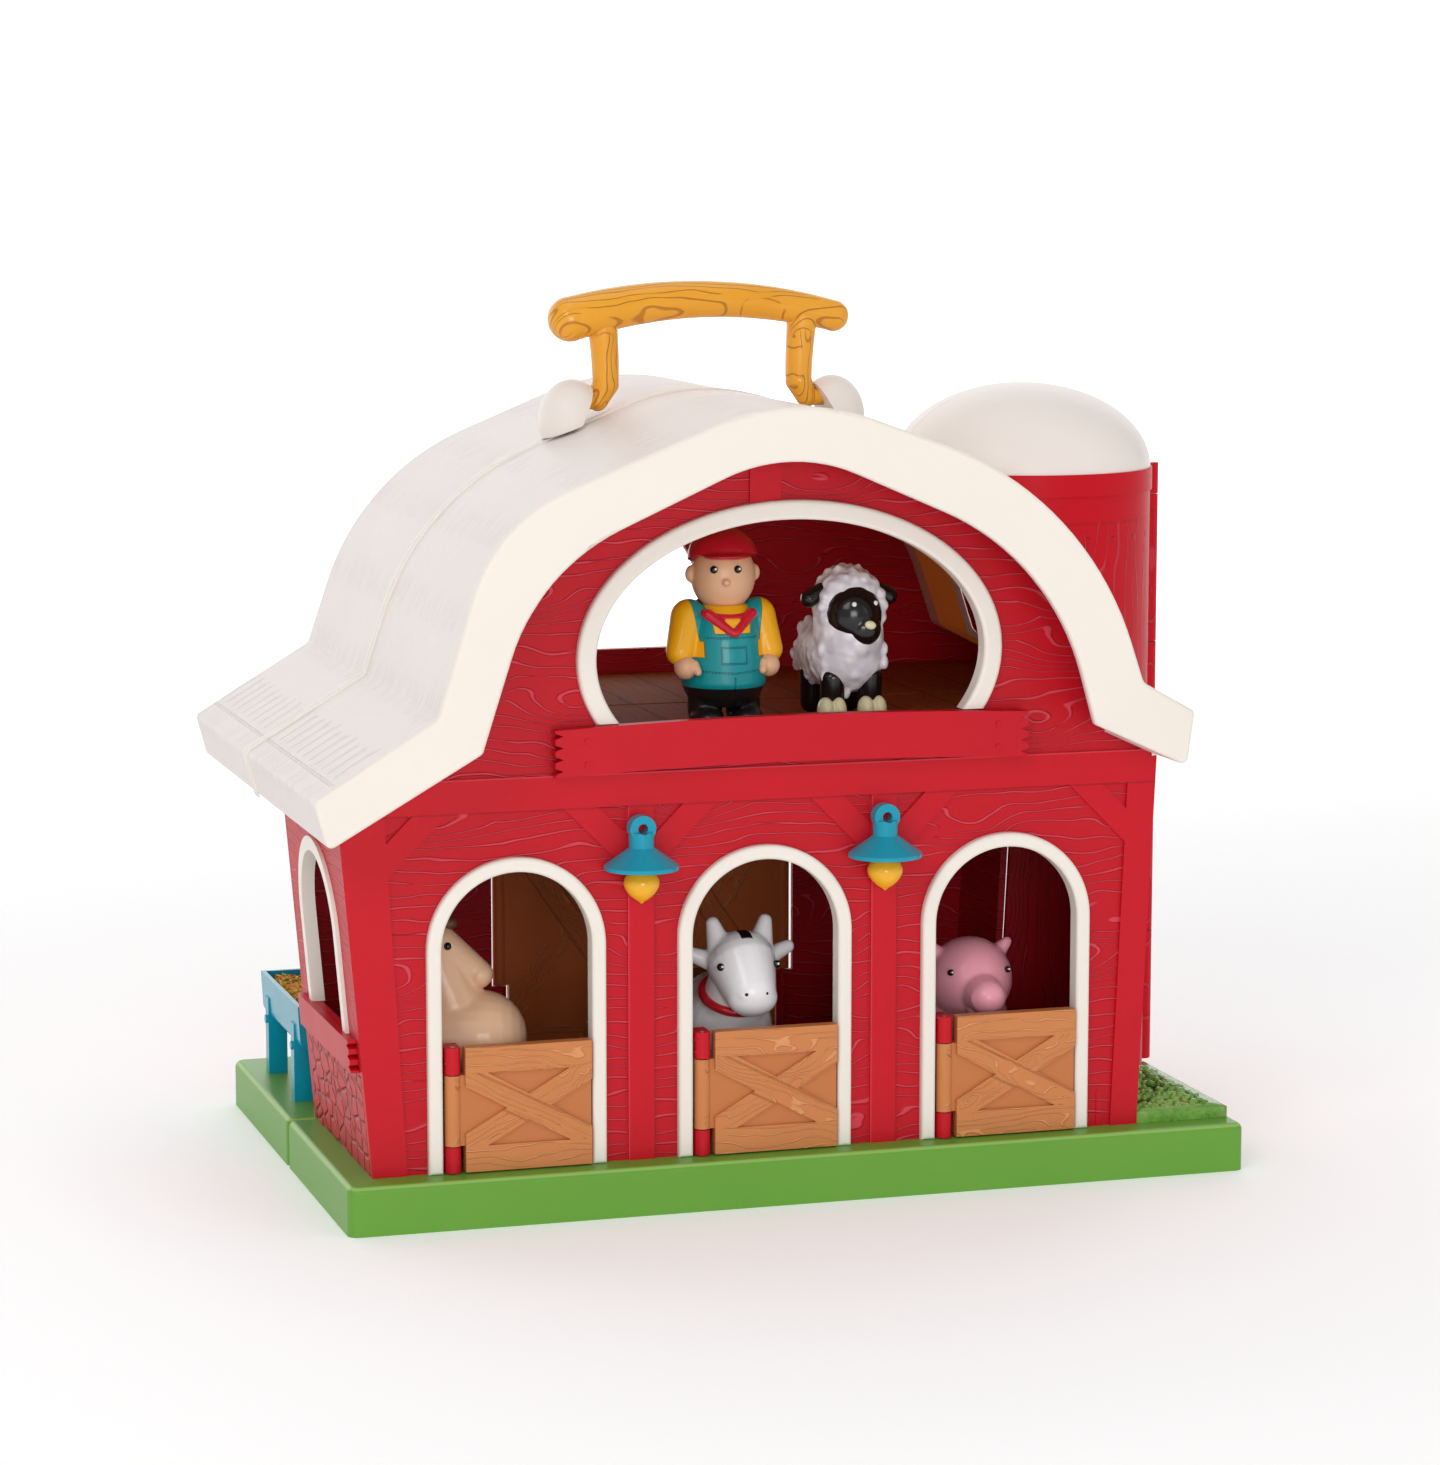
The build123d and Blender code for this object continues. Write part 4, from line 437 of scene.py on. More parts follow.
# The back doors' tones are redder than the front doors': painted red light bounced from the red walls
# round them.
for name, leaf_x in (("back_door_left", -35.7), ("back_door_right", 25.5)):
    door_finishes[name] = door_brown(
        name + "_brown", leaf_x, 29.0, low=19.0, high=124.0, rail_height=10.0, brace_width=9.0,
        face_y=200.0, tones_and_bounce=((214, 108, 52), (224, 120, 62)))
loft_boards = floor_boards()
handle_finish = handle_wood()

finished_nodes = [
    (barn_red, "wall_front wall_back"),
    (silo_red, "silo_front silo_back"),
    (timber_red, "loft_sill_plank side_sill_plank"),
    (roof_skin, "roof_front roof_back"),
    (trim_cream, "arch_frame_left arch_frame_middle arch_frame_right"),
    (trim_cream, "loft_window_frame side_window_frame"),
    (dome_cream, "silo_dome_front silo_dome_back handle_socket_left handle_socket_right"),
    (base_green, "base_front base_back"),
    (loft_boards, "loft_floor_front loft_floor_back"),
    (handle_finish, "handle"),
    (teal, "lamp_shade_left lamp_shade_right trough"),
    (bulb_amber, "lamp_bulb_left lamp_bulb_right"),
    (steel, "base_front_screws base_back_screws hinge_pin stall_door_pins back_door_pins"),
    *[(finish, name) for name, finish in door_finishes.items()],
]
for finish, names in finished_nodes:
    for name in names.split():
        nodes[name].data.materials.clear()
        nodes[name].data.materials.append(finish.material)


# ---------------------------------------------------------------- shapes
def move(bm, verts, matrix):
    bmesh.ops.transform(bm, matrix=matrix, verts=verts)


def ball(bm, middle, radii, segments=32, turn=None):
    """A closed ellipsoid. radii is one radius or three."""
    radii = radii if isinstance(radii, tuple) else (radii,) * 3
    matrix = Matrix.Translation(middle) @ (turn or Matrix()) @ Matrix.Diagonal((*radii, 1))
    return bmesh.ops.create_uvsphere(
        bm, u_segments=segments, v_segments=segments // 2, radius=1.0, matrix=matrix)["verts"]


def limb(bm, start, end, start_radius, end_radius):
    """A rounded limb: a ball parted at its waist, each half sized and set at its own end."""
    run = Vector(end) - Vector(start)
    verts = bmesh.ops.create_uvsphere(bm, u_segments=24, v_segments=12, radius=1.0)["verts"]
    upper = [v for v in verts if v.co.z > 0.001]
    lower = [v for v in verts if v.co.z <= 0.001]
    bmesh.ops.scale(bm, vec=(end_radius,) * 3, verts=upper)
    bmesh.ops.translate(bm, vec=(0, 0, run.length), verts=upper)
    bmesh.ops.scale(bm, vec=(start_radius,) * 3, verts=lower)
    turn = run.to_track_quat("Z", "Y").to_matrix().to_4x4()
    move(bm, verts, Matrix.Translation(start) @ turn)


def spun(bm, verts, edges, steps):
    bmesh.ops.spin(bm, geom=verts + edges, cent=(0, 0, 0), axis=(0, 0, 1), angle=2 * math.pi,
                   steps=steps, use_merge=True)


def turned(bm, stations):
    """A closed body of revolution about Z through (radius, z) stations, with poles at both ends."""
    points = [(0, stations[0][1]), *stations, (0, stations[-1][1])]
    verts = [bm.verts.new((r, 0, z)) for r, z in points]
    spun(bm, verts, [bm.edges.new(pair) for pair in zip(verts, verts[1:])], 40)
    bmesh.ops.remove_doubles(bm, verts=bm.verts[:], dist=0.001)


def hoop(bm, radius, thickness, segments, place):
    """A closed ring about Z, moved to its place."""
    side = Matrix.Translation((radius, 0, 0)) @ Matrix.Rotation(math.pi / 2, 4, "X")
    ring = bmesh.ops.create_circle(bm, segments=segments, radius=thickness, matrix=side)["verts"]
    spun(bm, ring, list({e for v in ring for e in v.link_edges}), 48)
    bmesh.ops.recalc_face_normals(bm, faces=bm.faces[:])
    move(bm, bm.verts[:], place)


def cut_off(bm, point, outward):
    """Removes what lies beyond a plane."""
    bmesh.ops.bisect_plane(bm, geom=bm.verts[:] + bm.edges[:] + bm.faces[:], plane_co=point,
                           plane_no=outward, clear_outer=True)


def fused(bm, voxel, rounds):
    """The shapes of a bmesh in one closed skin, with its creases softened."""
    bmesh.ops.recalc_face_normals(bm, faces=bm.faces[:])
    rough = bpy.data.meshes.new("rough")
    bm.to_mesh(rough)
    bm.free()
    maker = bpy.data.objects.new("rough", rough)
    bpy.context.collection.objects.link(maker)
    remesh = maker.modifiers.new("skin", "REMESH")
    remesh.mode = "VOXEL"
    remesh.voxel_size = voxel
    skinned = maker.evaluated_get(bpy.context.evaluated_depsgraph_get())
    made = bmesh.new()
    made.from_mesh(skinned.data)
    bpy.data.objects.remove(maker)
    bpy.data.meshes.remove(rough)
    for _ in range(rounds):
        bmesh.ops.smooth_vert(made, verts=made.verts[:], factor=0.5, use_axis_x=True,
                              use_axis_y=True, use_axis_z=True)
    return made


def make_piece(name, bm, finish, body, place=Matrix.Scale(MM, 4)):
    """A finished piece from a bmesh that is in millimetres, set at its place and riding its body."""
    move(bm, bm.verts[:], place)
    mesh = bpy.data.meshes.new(name)
    bm.to_mesh(mesh)
    bm.free()
    mesh.materials.append(finish.material)
    mesh.shade_smooth()
    piece = bpy.data.objects.new(name, mesh)
    bpy.context.collection.objects.link(piece)
    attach(piece, body)
    return piece


# ---------------------------------------------------------------- figures
# Where each figure's feet stand, and its turn about Z. A figure faces -Y before its turn.
FIGURES = {
    "farmer": ((-20.0, -66.0, 174.2), 0.0),
    "sheep": ((30.0, -60.0, 174.2), 0.0),
    "horse": ((-126.0, -66.0, 18.6), math.radians(75.0)),
    "cow": ((-16.0, -54.0, 18.6), 0.0),
    "pig": ((80.0, -56.0, 18.6), 0.0),
}


def stand(figure):
    """Where a figure's own millimetres stand in the model."""
    feet, turn = FIGURES[figure]
    feet = Matrix.Translation([c * MM for c in feet])
    return feet @ Matrix.Rotation(turn, 4, "Z") @ Matrix.Scale(MM, 4)


def figure_piece(figure, part, bm, finish):
    return make_piece(f"{figure}_{part}", bm, finish, figure, stand(figure))


def vinyl(name, colour, roughness=0.3, **constants):
    return plain(name, colour, roughness, 0.03, Coat_Weight=0.3, Coat_Roughness=0.15, **constants)


eye_black = plain("eye_black", paint(16, 14, 14), 0.12, 0.0, Coat_Weight=0.5)
eye_white = plain("eye_white", paint(246, 246, 242), 0.2, 0.0)


def eyes(figure, spots, radius, glint):
    """Two glossy eyes set into a face, each with a small white glint."""
    bm = bmesh.new()
    for spot in spots:
        ball(bm, spot, radius, 20)
    figure_piece(figure, "eyes", bm, eye_black)
    bm = bmesh.new()
    for x, y, z in spots:
        ball(bm, (x + radius * 0.2, y - radius * 0.85, z + radius * 0.2), glint, 12)
    figure_piece(figure, "eye_glints", bm, eye_white)


def farmer_cloth():
    """Yellow shirt, teal overalls with a bib, straps, pockets and stitches, and black boots."""
    finish = Finish("farmer_cloth")
    x, y, z = finish.parts(finish.place(*FIGURES["farmer"]))
    wide = abs(x)
    front = finish.ramp(y, 1.0, 0.0)
    chest = finish.ramp(wide, 15.0, 14.6)
    trousers = finish.ramp(z, 27.4, 27.0) * chest
    bib = finish.ramp(wide, 10.6, 10.2) * finish.ramp(z, 36.2, 35.8)
    strap = finish.ramp(abs(wide - 9.4 - (z - 36.0) * 0.16), 2.8, 2.5) * finish.ramp(z, 33.0, 33.4)
    low = finish.ramp(z, 20.4, 20.0)
    teal_part = finish.larger(trousers, bib, strap * finish.ramp(z, 60.0, 59.0), low)
    boots = finish.ramp(z, 15.8, 15.4)
    hem = finish.ramp(abs(z - 34.6), 0.4, 0.2) * finish.ramp(wide, 10.4, 10.0)
    stitch = finish.ramp((x / 1.1) % 1.0, 0.3, 0.4)
    pocket = finish.ramp(abs(wide - 4.8), 0.4, 0.2) * finish.ramp(abs(z - 28.0), 3.2, 3.0)
    flap = finish.ramp(abs(z - 31.0), 0.4, 0.2) * finish.ramp(wide, 5.0, 4.7)
    foot = finish.ramp(abs(z - 25.0), 0.4, 0.2) * finish.ramp(wide, 5.0, 4.7)
    seam = finish.ramp(wide, 0.35, 0.2) * finish.ramp(z, 20.0, 19.6)
    waist = finish.ramp(abs(z - 21.4 - wide * 0.06), 0.4, 0.2) * stitch
    line = finish.larger(hem * stitch, pocket, flap, foot) * front + finish.larger(seam, waist)
    line = line * teal_part
    colour = finish.mix(teal_part, paint(246, 178, 22), paint(4, 146, 152))
    colour = finish.mix(line * 0.55, colour, paint(0, 96, 104))
    colour = finish.mix(boots, colour, paint(24, 22, 24))
    return finish.surface(colour, 0.34, teal_part - line * 0.8, 0.7, Coat_Weight=0.25,
                          Coat_Roughness=0.15)


def make_farmer():
    skin = plain("farmer_skin", paint(226, 178, 140), 0.36, 0.03, Coat_Weight=0.2,
                 Coat_Roughness=0.2, Subsurface_Weight=0.1,
                 Subsurface_Radius=(0.004, 0.002, 0.001), Subsurface_Scale=1.0)
    cap_red = vinyl("cap_red", paint(190, 24, 40))
    scarf_red = vinyl("scarf_red", paint(206, 26, 48))
    bm = bmesh.new()
    for side in (-1, 1):
        limb(bm, (7.4 * side, -1, 6), (7.4 * side, -1, 12), 6.6, 6.8)
        ball(bm, (7.6 * side, -4.0, 4.2), (6.4, 9.0, 4.2))
        limb(bm, (13.4 * side, 0, 41.2), (17.2 * side - 0.8, -4.5, 29.0), 7.0, 5.5)
    turned(bm, [(10.0, 8), (14.0, 12), (16.2, 17), (15.8, 26), (14.6, 34), (12.8, 41), (8.6, 46)])
    shirt = figure_piece("farmer", "body", fused(bm, 0.5, 6), farmer_cloth())
    bm = bmesh.new()
    ball(bm, (0, 0, 56.6), (12.2, 11.6, 13.6), 48)
    ball(bm, (-2.2, -11.6, 55.0), (1.5, 1.2, 1.3))
    for side in (-1, 1):
        ball(bm, (12.0 * side, 0.5, 57.4), (2.6, 2.2, 3.4))
        ball(bm, (16.2 * side - 0.8, -8.0, 23.4), (4.2, 4.8, 4.5))
        limb(bm, (13.4 * side - 0.8, -10.6, 24.8), (12.6 * side - 0.8, -12.4, 22.0), 1.7, 1.5)
    figure_piece("farmer", "head_and_hands", fused(bm, 0.4, 4), skin)
    bm = bmesh.new()
    ball(bm, (0, 0.7, 63.4), (13.2, 12.8, 11.6), 48)
    cut_off(bm, (0, 0, 63.4), (0, -0.25, -1))
    bmesh.ops.contextual_create(bm, geom=[e for e in bm.edges if e.is_boundary])
    ball(bm, (-1.0, -8.4, 64.6), (9.4, 6.8, 1.4))
    ball(bm, (0, 0.7, 74.8), (1.8, 1.8, 0.8))
    figure_piece("farmer", "cap", fused(bm, 0.4, 4), cap_red)
    bm = bmesh.new()
    collar = Matrix.Translation((0, -0.6, 43.8)) @ Matrix.Rotation(math.radians(14), 4, "X")
    hoop(bm, 10.2, 1.9, 20, collar)
    for side in (-1, 1):
        limb(bm, (8.4 * side, -8.6, 43.0), (0.6 * side, -14.6, 36.4), 2.2, 1.6)
    figure_piece("farmer", "neckerchief", fused(bm, 0.4, 3), scarf_red)
    eyes("farmer", [(-6.4, -9.5, 59.8), (2.4, -11.0, 59.8)], 1.5, 0.5)
    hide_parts("farmer")


def sheep_wool():
    """White moulded curls, with painted shade between them."""
    finish = Finish("sheep_wool")
    point = finish.place(*FIGURES["sheep"])
    curl = finish.node("ShaderNodeTexVoronoi", {"feature": "SMOOTH_F1"}, {
        "Vector": point, "Scale": 0.2, "Smoothness": 0.6, "Randomness": 0.9}, "Distance")
    wave = finish.noise(point, 0.3, 2)
    # Greyer away from each curl's middle: painted shade in the creases between the curls.
    colour = finish.mix(finish.ramp(curl, 0.3, 0.7), paint(240, 238, 242), paint(214, 210, 218))
    return finish.surface(colour, 0.5, 1.0 - curl + wave * 0.2, 1.2, Coat_Weight=0.1)


def make_sheep():
    face_black = vinyl("sheep_black", paint(22, 20, 20), 0.16)
    hoof_cream = vinyl("sheep_cream", paint(222, 216, 176), 0.3)
    bm = bmesh.new()
    limb(bm, (0, -2, 24), (0, 17, 23.5), 14.2, 13.8)
    limb(bm, (0, -5, 32), (0, -2.0, 45.6), 13.4, 13.2)
    curl_count, head_z, head_radius, body_z, body_radius = 200, 45.6, 12.2, 24, 12.9
    generator = random.Random(5)
    for _ in range(curl_count):
        turn = generator.uniform(0, 2 * math.pi)
        tip = generator.uniform(-0.9, 1.0)
        flat = math.sqrt(1 - min(1.0, tip * tip))
        curl = generator.uniform(1.3, 2.0)
        across, along = math.cos(turn), math.sin(turn)
        if generator.random() < 0.5:
            at = (head_radius * flat * across, -2.0 + head_radius * flat * along, head_z + 11.6 * tip)
        else:
            at = (body_radius * across, generator.uniform(-10, 26), body_z + body_radius * along)
        ball(bm, at, (curl, curl, curl * 1.7), 10)
    for step in range(11):
        turn = math.radians(-20 + 22 * step)
        ball(bm, (0.2 + 11.8 * math.cos(turn), -9.0, 43.2 + 11.6 * math.sin(turn)), 2.6, 12)
    wool = figure_piece("sheep", "wool_coat", fused(bm, 0.5, 6), sheep_wool())
    bm = bmesh.new()
    ball(bm, (0.2, -8.8, 40.2), (11.2, 10.8, 12.6), 48)
    ball(bm, (2.6, -14.4, 35.8), (6.8, 6.2, 7.0))
    for side in (-1, 1):
        limb(bm, (10.8 * side, -5.0, 49.6), (15.6 * side, -5.4, 46.8), 3.0, 3.6)
        for y in (-8, 17):
            limb(bm, (7.4 * side, y, 4.6), (7.4 * side, y, 16), 4.6, 5.0)
    figure_piece("sheep", "face_and_legs", fused(bm, 0.4, 4), face_black)
    bm = bmesh.new()
    for x in (-8.8, 7.2):
        for side in (-1, 1):
            ball(bm, (x + 2.5 * side, -11.8, 4.9), (3.1, 4.6, 4.9))
    ball(bm, (3.4, -20.4, 37.6), (2.4, 1.2, 1.7), 20, Matrix.Rotation(math.radians(14), 4, "Y"))
    figure_piece("sheep", "hooves_and_nose", fused(bm, 0.35, 2), hoof_cream)
    bm = bmesh.new()
    for spot in ((-2.4, -18.5, 45.4), (6.8, -16.3, 45.4)):
        ball(bm, spot, 0.95, 14)
    figure_piece("sheep", "eyes", bm, eye_white)
    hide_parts("sheep")


def make_horse():
    coat = vinyl("horse_beige", paint(236, 192, 156), 0.34)
    mane_brown = vinyl("horse_brown", paint(96, 58, 38), 0.4)
    bm = bmesh.new()
    limb(bm, (0, -11, 43), (0, 10, 42), 17.6, 17.2)
    limb(bm, (0, -2, 52), (0, 6, 73), 12.3, 10.3)
    limb(bm, (0, 5, 77), (0, -9.0, 68), 9.0, 5.6)
    ball(bm, (0, -11.0, 66.6), (6.4, 5.2, 5.2))
    for side in (-1, 1):
        limb(bm, (4.6 * side, 6, 83), (5.4 * side, 6.6, 88.6), 2.6, 1.4)
        for y in (-8, 12):
            limb(bm, (9 * side, y, 6), (9 * side, y, 34), 6.0, 6.0)
    body = figure_piece("horse", "body", fused(bm, 0.6, 6), coat)
    bm = bmesh.new()
    limb(bm, (0, 10, 84.5), (0, 18.5, 62), 4.2, 3.8)
    ball(bm, (0, 1.5, 86.0), (3.2, 4.6, 3.0))
    limb(bm, (0, 23, 50), (0, 26.5, 32), 4.0, 3.2)
    figure_piece("horse", "mane_and_tail", fused(bm, 0.5, 3), mane_brown)
    bm = bmesh.new()
    for side in (-1, 1):
        for y in (-8, 12):
            limb(bm, (9 * side, y, 3.2), (9 * side, y, 5.4), 6.3, 6.3)
    cut_off(bm, (0, 0, 0), (0, 0, -1))
    figure_piece("horse", "hooves", bm, mane_brown)
    eyes("horse", [(-7.6, 0.5, 78.6), (7.6, 0.5, 78.6)], 1.5, 0.5)
    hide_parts("horse")


def cow_coat():
    """White coat with black patches on the back, the flanks and the forelock."""
    finish = Finish("cow_coat")
    point = finish.place(*FIGURES["cow"])
    x, y, z = finish.parts(point)
    patch = finish.noise(point, 0.055, 1)
    behind = finish.ramp(y, 2.0, 4.0) * finish.ramp(z, 22, 26)
    spots = finish.ramp(patch, 0.52, 0.535) * behind
    lock = finish.ramp(abs(x - 1.8), 2.4, 2.1) * finish.ramp(z, 70.6, 71.2)
    lock = lock * finish.ramp(y, -25.0, -24.0)
    hooves = finish.ramp(z, 6.0, 5.7)
    colour = finish.mix(spots, paint(244, 242, 244), paint(20, 18, 20))
    colour = finish.mix(lock, colour, paint(20, 18, 20))
    colour = finish.mix(hooves, colour, paint(40, 34, 34))
    return finish.surface(colour, 0.26, finish.noise(point, 1.1, 2), 0.012, Coat_Weight=0.35,
                          Coat_Roughness=0.12)


def make_cow():
    collar_red = vinyl("collar_red", paint(200, 24, 44))
    bm = bmesh.new()
    limb(bm, (0, -3, 38), (0, 26, 38), 17.8, 17.6)
    limb(bm, (0.5, -9, 46), (1.5, -15, 60), 12.6, 11.4)
    limb(bm, (1.6, -18, 65), (2.2, -27, 56.4), 13.2, 9.8)
    ball(bm, (2.4, -28.6, 54.4), (9.8, 7.8, 7.4))
    for side in (-1, 1):
        limb(bm, (2 + 7.6 * side, -15, 70), (2 + 10.4 * side, -13.0, 80.4), 5.4, 2.7)
        limb(bm, (2 + 11.5 * side, -11.5, 66), (2 + 20.4 * side, -10, 69.4), 3.8, 2.6)
        ball(bm, (2 + 4.2 * side, -33.6, 56.4), (2.4, 2.2, 1.8))
        for y in (-7, 27):
            limb(bm, (10 * side, y, 6.4), (10 * side, y, 30), 6.4, 6.4)
    body = figure_piece("cow", "body", fused(bm, 0.6, 5), cow_coat())
    bm = bmesh.new()
    for side in (-1, 1):
        ball(bm, (2 + 3.8 * side, -35.6, 57.0), (0.9, 0.5, 0.7), 12)
    eyes("cow", [(-9.0, -25.6, 66.0), (13.0, -25.6, 66.0)], 1.5, 0.5)
    figure_piece("cow", "nostrils", bm, eye_black)
    bm = bmesh.new()
    neck = Matrix.Translation((0.9, -12.0, 52.6)) @ Matrix.Rotation(math.radians(24), 4, "X")
    hoop(bm, 12.6, 1.7, 16, neck)
    figure_piece("cow", "collar", bm, collar_red)
    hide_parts("cow")


def make_pig():
    coat = vinyl("pig_pink", paint(246, 166, 182), 0.3, Subsurface_Weight=0.05,
                 Subsurface_Radius=(0.004, 0.002, 0.001), Subsurface_Scale=1.0)
    dark = vinyl("pig_nostril", paint(176, 84, 104), 0.4)
    bm = bmesh.new()
    limb(bm, (0, 2, 35), (0, 24, 34), 18.8, 18.2)
    ball(bm, (0, -8, 52.6), (16.9, 15.6, 16.4), 48)
    limb(bm, (0, -18, 49.6), (0, -28.4, 49.2), 8.2, 7.0)
    ball(bm, (0, -29.6, 49.2), (7.4, 2.4, 6.2))
    ball(bm, (0, -22.0, 43.2), (6.0, 5.0, 3.0))
    for side in (-1, 1):
        limb(bm, (11.4 * side, -6, 61.0), (15.6 * side, -7.6, 66.2), 4.0, 2.0)
        for y in (-3, 23):
            limb(bm, (10 * side, y, 6.6), (10 * side, y, 24), 6.6, 6.6)
    body = figure_piece("pig", "body", fused(bm, 0.6, 5), coat)
    bm = bmesh.new()
    for side in (-1, 1):
        ball(bm, (2.7 * side, -31.6, 49.8), (1.0, 0.8, 1.7), 14)
    figure_piece("pig", "nostrils", bm, dark)
    eyes("pig", [(-11.6, -19.2, 57.6), (11.6, -19.2, 57.6)], 1.3, 0.45)
    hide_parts("pig")


make_farmer()
make_sheep()
make_horse()
make_cow()
make_pig()


# ---------------------------------------------------------------- hay in the trough
def hay_colours():
    finish = Finish("hay_straws")
    pick = finish.noise(finish.place(), 0.35, 1)
    colour = finish.node("ShaderNodeValToRGB", {"stops": [
        (0.30, paint(70, 120, 40)), (0.42, paint(150, 160, 50)), (0.50, paint(238, 196, 60)),
        (0.58, paint(232, 128, 60)), (0.70, paint(150, 90, 40))]}, {0: pick})
    return finish.surface(colour, 0.5, pick, 0.1)


def make_hay():
    """A heap with loose straws on it, each kept inside the trough by its own length."""
    straw_count, straw_radius, straw_tip_radius, wall_clearance = 330, 0.7, 0.45, 0.8
    low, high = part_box("trough_hay")
    low, high = low / MM, high / MM
    middle, size = (low + high) / 2, high - low
    generator = random.Random(11)
    bm = bmesh.new()
    heap = ball(bm, (0, 0, 0), 1.0, 24)
    move(bm, heap, Matrix.Translation((middle.x, middle.y, low.z * 0.7 + high.z * 0.3))
         @ Matrix.Diagonal((size.x * 0.49, size.y * 0.49, size.z * 0.45, 1)))
    for _ in range(straw_count):
        verts = bmesh.ops.create_cone(
            bm, cap_ends=True, cap_tris=False, segments=5, radius1=straw_radius,
            radius2=straw_tip_radius, depth=1.0)["verts"]
        length = generator.uniform(7, 13)
        swing = generator.uniform(0, math.pi)
        room_x = length / 2 * abs(math.sin(swing)) + wall_clearance
        room_y = length / 2 * abs(math.cos(swing)) + wall_clearance
        place = Vector((generator.uniform(low.x + room_x, high.x - room_x),
                        generator.uniform(low.y + room_y, high.y - room_y),
                        high.z - generator.uniform(0.8, 3.2)))
        turn = Matrix.Rotation(swing, 4, "Z")
        turn = turn @ Matrix.Rotation(math.pi / 2 + generator.uniform(-0.22, 0.22), 4, "X")
        move(bm, verts, Matrix.Translation(place) @ turn @ Matrix.Diagonal((1, 1, length, 1)))
    hay = make_piece("hay_heap", bm, hay_colours(), "back_half")
    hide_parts("trough_hay")


make_hay()


# ---------------------------------------------------------------- bush
def bush_colours():
    finish = Finish("bush_leaves")
    point = finish.place()
    patch = finish.noise(point, 0.08, 2)
    fine = finish.noise(point, 0.6, 2)
    colour = finish.node("ShaderNodeValToRGB", {"stops": [
        (0.30, paint(76, 122, 40)), (0.45, paint(108, 160, 60)), (0.60, paint(132, 174, 80)),
        (0.72, paint(150, 124, 76))]}, {0: patch * 0.6 + fine * 0.4})
    return finish.surface(colour, 0.3, fine, 0.2, Coat_Weight=0.3, Coat_Roughness=0.15)


def make_bush():
    """A bed of leaves that is highest in its middle and keeps clear of the silo's foot."""
    leaf_count, silo_clearance = 620, 3.5
    low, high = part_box("bush_front")
    low, high = low / MM, high / MM
    middle, size = (low + high) / 2, high - low
    generator = random.Random(3)
    bm = bmesh.new()
    bed = bmesh.ops.create_cube(bm, size=1.0)["verts"]
    move(bm, bed, Matrix.Translation(middle) @ Matrix.Diagonal((*size, 1)))
    bmesh.ops.translate(bm, vec=(0, 0, -size.z * 0.6), verts=[v for v in bed if v.co.z > low.z + 1])
    bmesh.ops.subdivide_edges(bm, edges=bm.edges[:], cuts=8, use_grid_fill=True)
    for _ in range(leaf_count):
        across, along = generator.uniform(-1, 1), generator.uniform(-1, 1)
        x = middle.x + across * (size.x - 4) / 2
        y = middle.y + along * (size.y - 4) / 2
        if (x - SILO_X) ** 2 + y * y < (SILO_RADIUS + silo_clearance) ** 2:
            continue
        swell = max(0.0, 1 - max(abs(across) * 0.8 + across * 0.3, abs(along)) ** 2)
        up = low.z + 2.2 + (size.z - 3.4) * swell * generator.uniform(0.75, 1.0)
        verts = bmesh.ops.create_icosphere(bm, subdivisions=1, radius=1.0)["verts"]
        turn = Matrix.Rotation(generator.uniform(0, 2 * math.pi), 4, "Z")
        turn = turn @ Matrix.Rotation(generator.uniform(-0.6, 0.6), 4, "X")
        turn = turn @ Matrix.Rotation(generator.uniform(-0.5, 0.5), 4, "Y")
        leaf = generator.uniform(1.9, 3.2)
        leaf_shape = Matrix.Diagonal((leaf, leaf * 0.6, 1.4, 1))
        move(bm, verts, Matrix.Translation((x, y, up)) @ turn @ leaf_shape)
    cut_off(bm, (0, 0, low.z + 0.05), (0, 0, -1))
    bush = make_piece("bush_leaves", bm, bush_colours(), "front_half")
    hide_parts("bush_front")


make_bush()


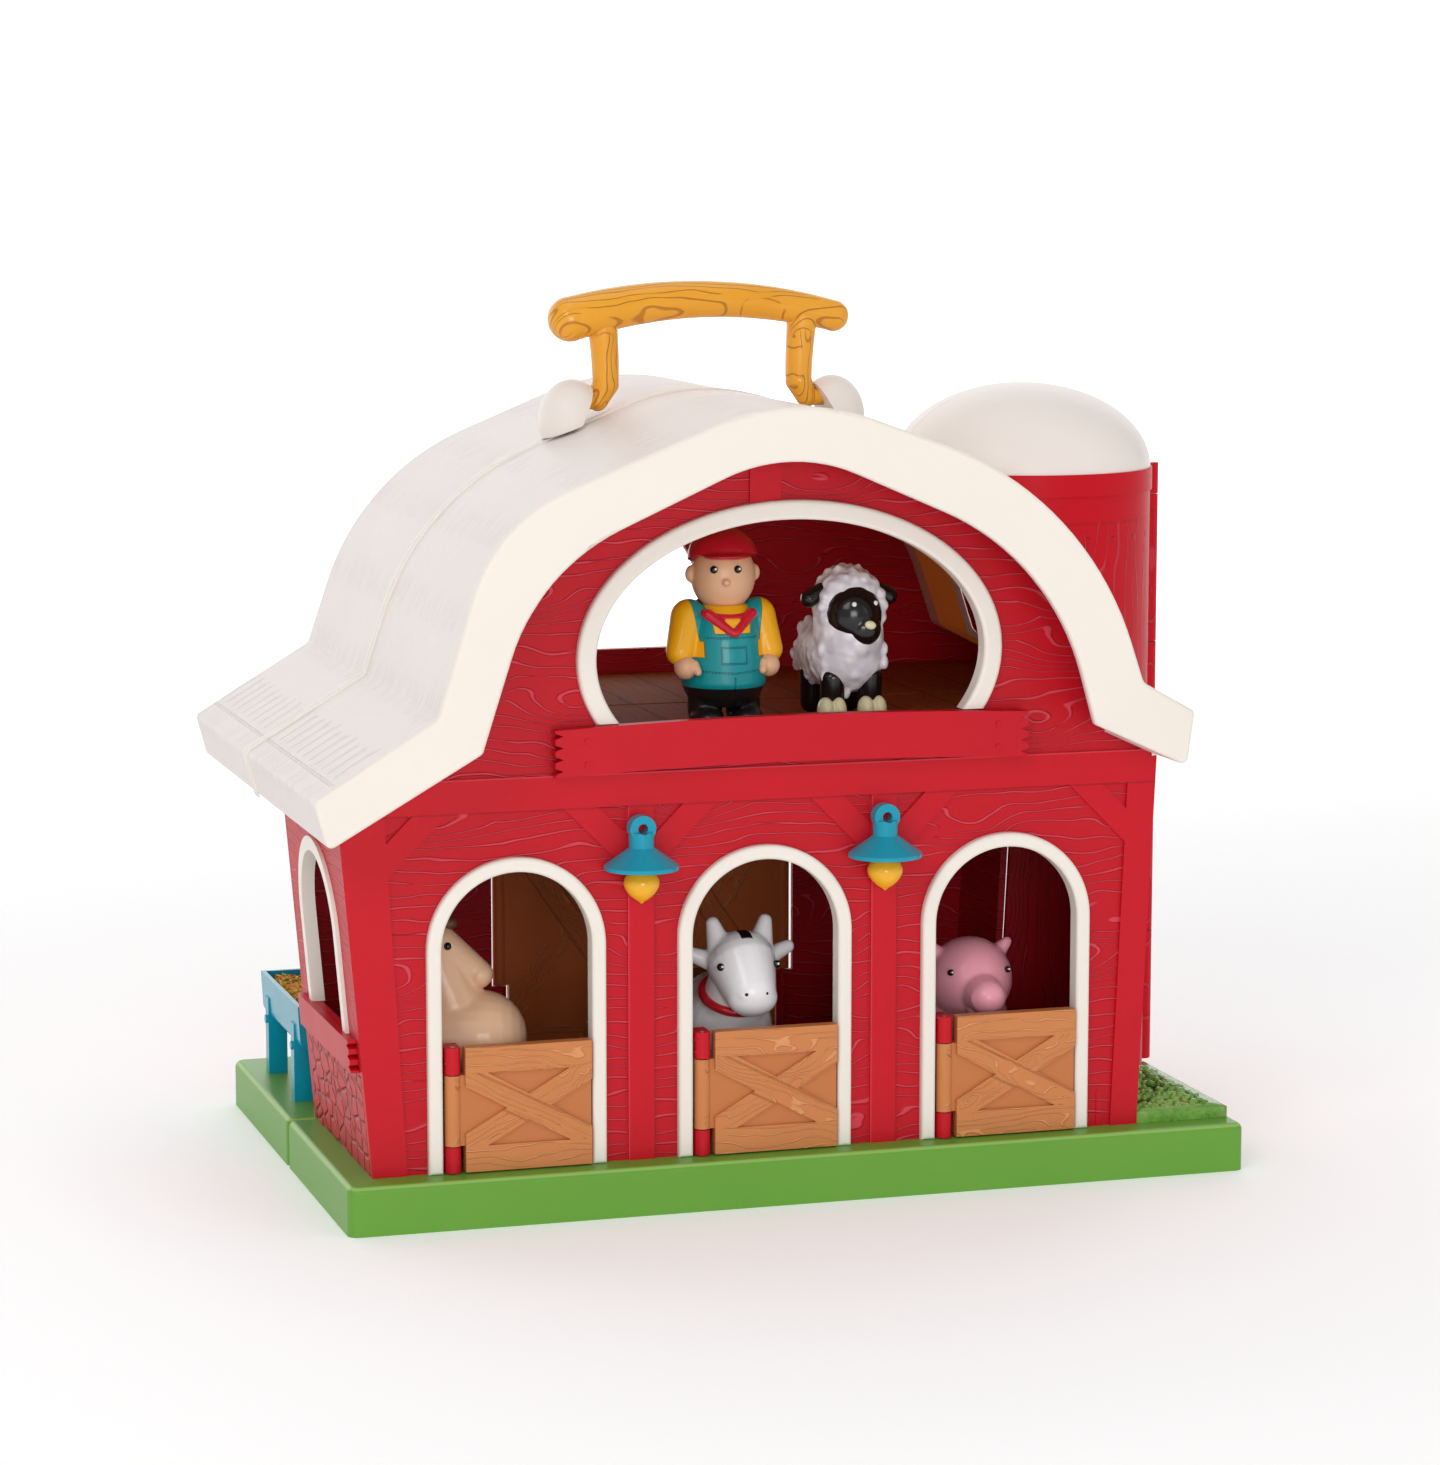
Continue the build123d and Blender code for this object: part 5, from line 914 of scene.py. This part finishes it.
# ---------------------------------------------------------------- stage, light and camera
def make_stage():
    """A white sweep, floor and backdrop in one, that glows more towards the back. In metres."""
    half_width = 6.0
    section = [(-4.0, 0), (3.0, 0), (3.6, 0.08), (4.1, 0.32), (4.4, 0.8), (4.5, 1.5), (4.5, 5.0)]
    finish = Finish("floor_white")
    y = finish.parts(finish.place())[1]
    far = finish.ramp(y, 300.0, 2400.0)
    glow = finish.mix(far, paint(120, 120, 120), paint(255, 255, 255))
    finish.surface(paint(250, 250, 250), 0.8, Emission_Color=glow, Emission_Strength=0.8)
    bm = bmesh.new()
    line = [bm.verts.new((-half_width, y, z)) for y, z in section]
    edges = [bm.edges.new(pair) for pair in zip(line, line[1:])]
    bmesh.ops.extrude_edge_only(bm, edges=edges)
    other_side = [v for v in bm.verts if v not in line]
    bmesh.ops.translate(bm, vec=(2 * half_width, 0, 0), verts=other_side)
    bmesh.ops.recalc_face_normals(bm, faces=bm.faces[:])
    mesh = bpy.data.meshes.new("studio_floor")
    bm.to_mesh(mesh)
    bm.free()
    mesh.materials.append(finish.material)
    mesh.shade_smooth()
    floor = bpy.data.objects.new("studio_floor", mesh)
    bpy.context.collection.objects.link(floor)


def turned_to(place, target):
    return (Vector(target) - Vector(place)).to_track_quat("-Z", "Y").to_euler()


def soft_light(name, place, height, size, power):
    """A softbox of so many watts that faces the point at that height over the origin."""
    lamp = bpy.data.lights.new(name, "AREA")
    lamp.shape = "RECTANGLE"
    lamp.size, lamp.size_y = size
    lamp.energy = power
    light = bpy.data.objects.new(name, lamp)
    light.location = place
    light.rotation_euler = turned_to(place, (0, 0, height))
    bpy.context.collection.objects.link(light)


def make_world(brightness):
    world = bpy.data.worlds.new("studio_air")
    world.use_nodes = True
    air = world.node_tree.nodes["Background"].inputs
    air["Color"].default_value = (1, 1, 1, 1)
    air["Strength"].default_value = brightness
    bpy.context.scene.world = world
    bpy.context.scene.view_settings.view_transform = "Standard"


def make_camera(place, target, focal_length):
    lens = bpy.data.cameras.new("camera")
    lens.lens = focal_length
    lens.sensor_width = 36.0
    lens.sensor_fit = "AUTO"
    lens.clip_start = 0.05
    lens.clip_end = 50.0
    camera = bpy.data.objects.new("camera", lens)
    camera.location = place
    camera.rotation_euler = turned_to(place, target)
    bpy.context.collection.objects.link(camera)
    bpy.context.scene.camera = camera


make_stage()
soft_light("key_softbox", (-1.3, -1.5, 1.5), 0.15, (0.9, 0.9), 9)
soft_light("front_softbox", (-0.35, -2.1, 0.45), 0.15, (0.8, 0.5), 9)
soft_light("fill_softbox", (1.5, -1.5, 0.9), 0.15, (1.2, 1.0), 2)
soft_light("top_softbox", (0.0, 0.1, 1.9), 0.1, (1.4, 1.4), 4.5)
make_world(0.5)
make_camera((-0.4819, -1.5761, 0.3957), (-0.06266, -0.20207, 0.19169), 104.36)
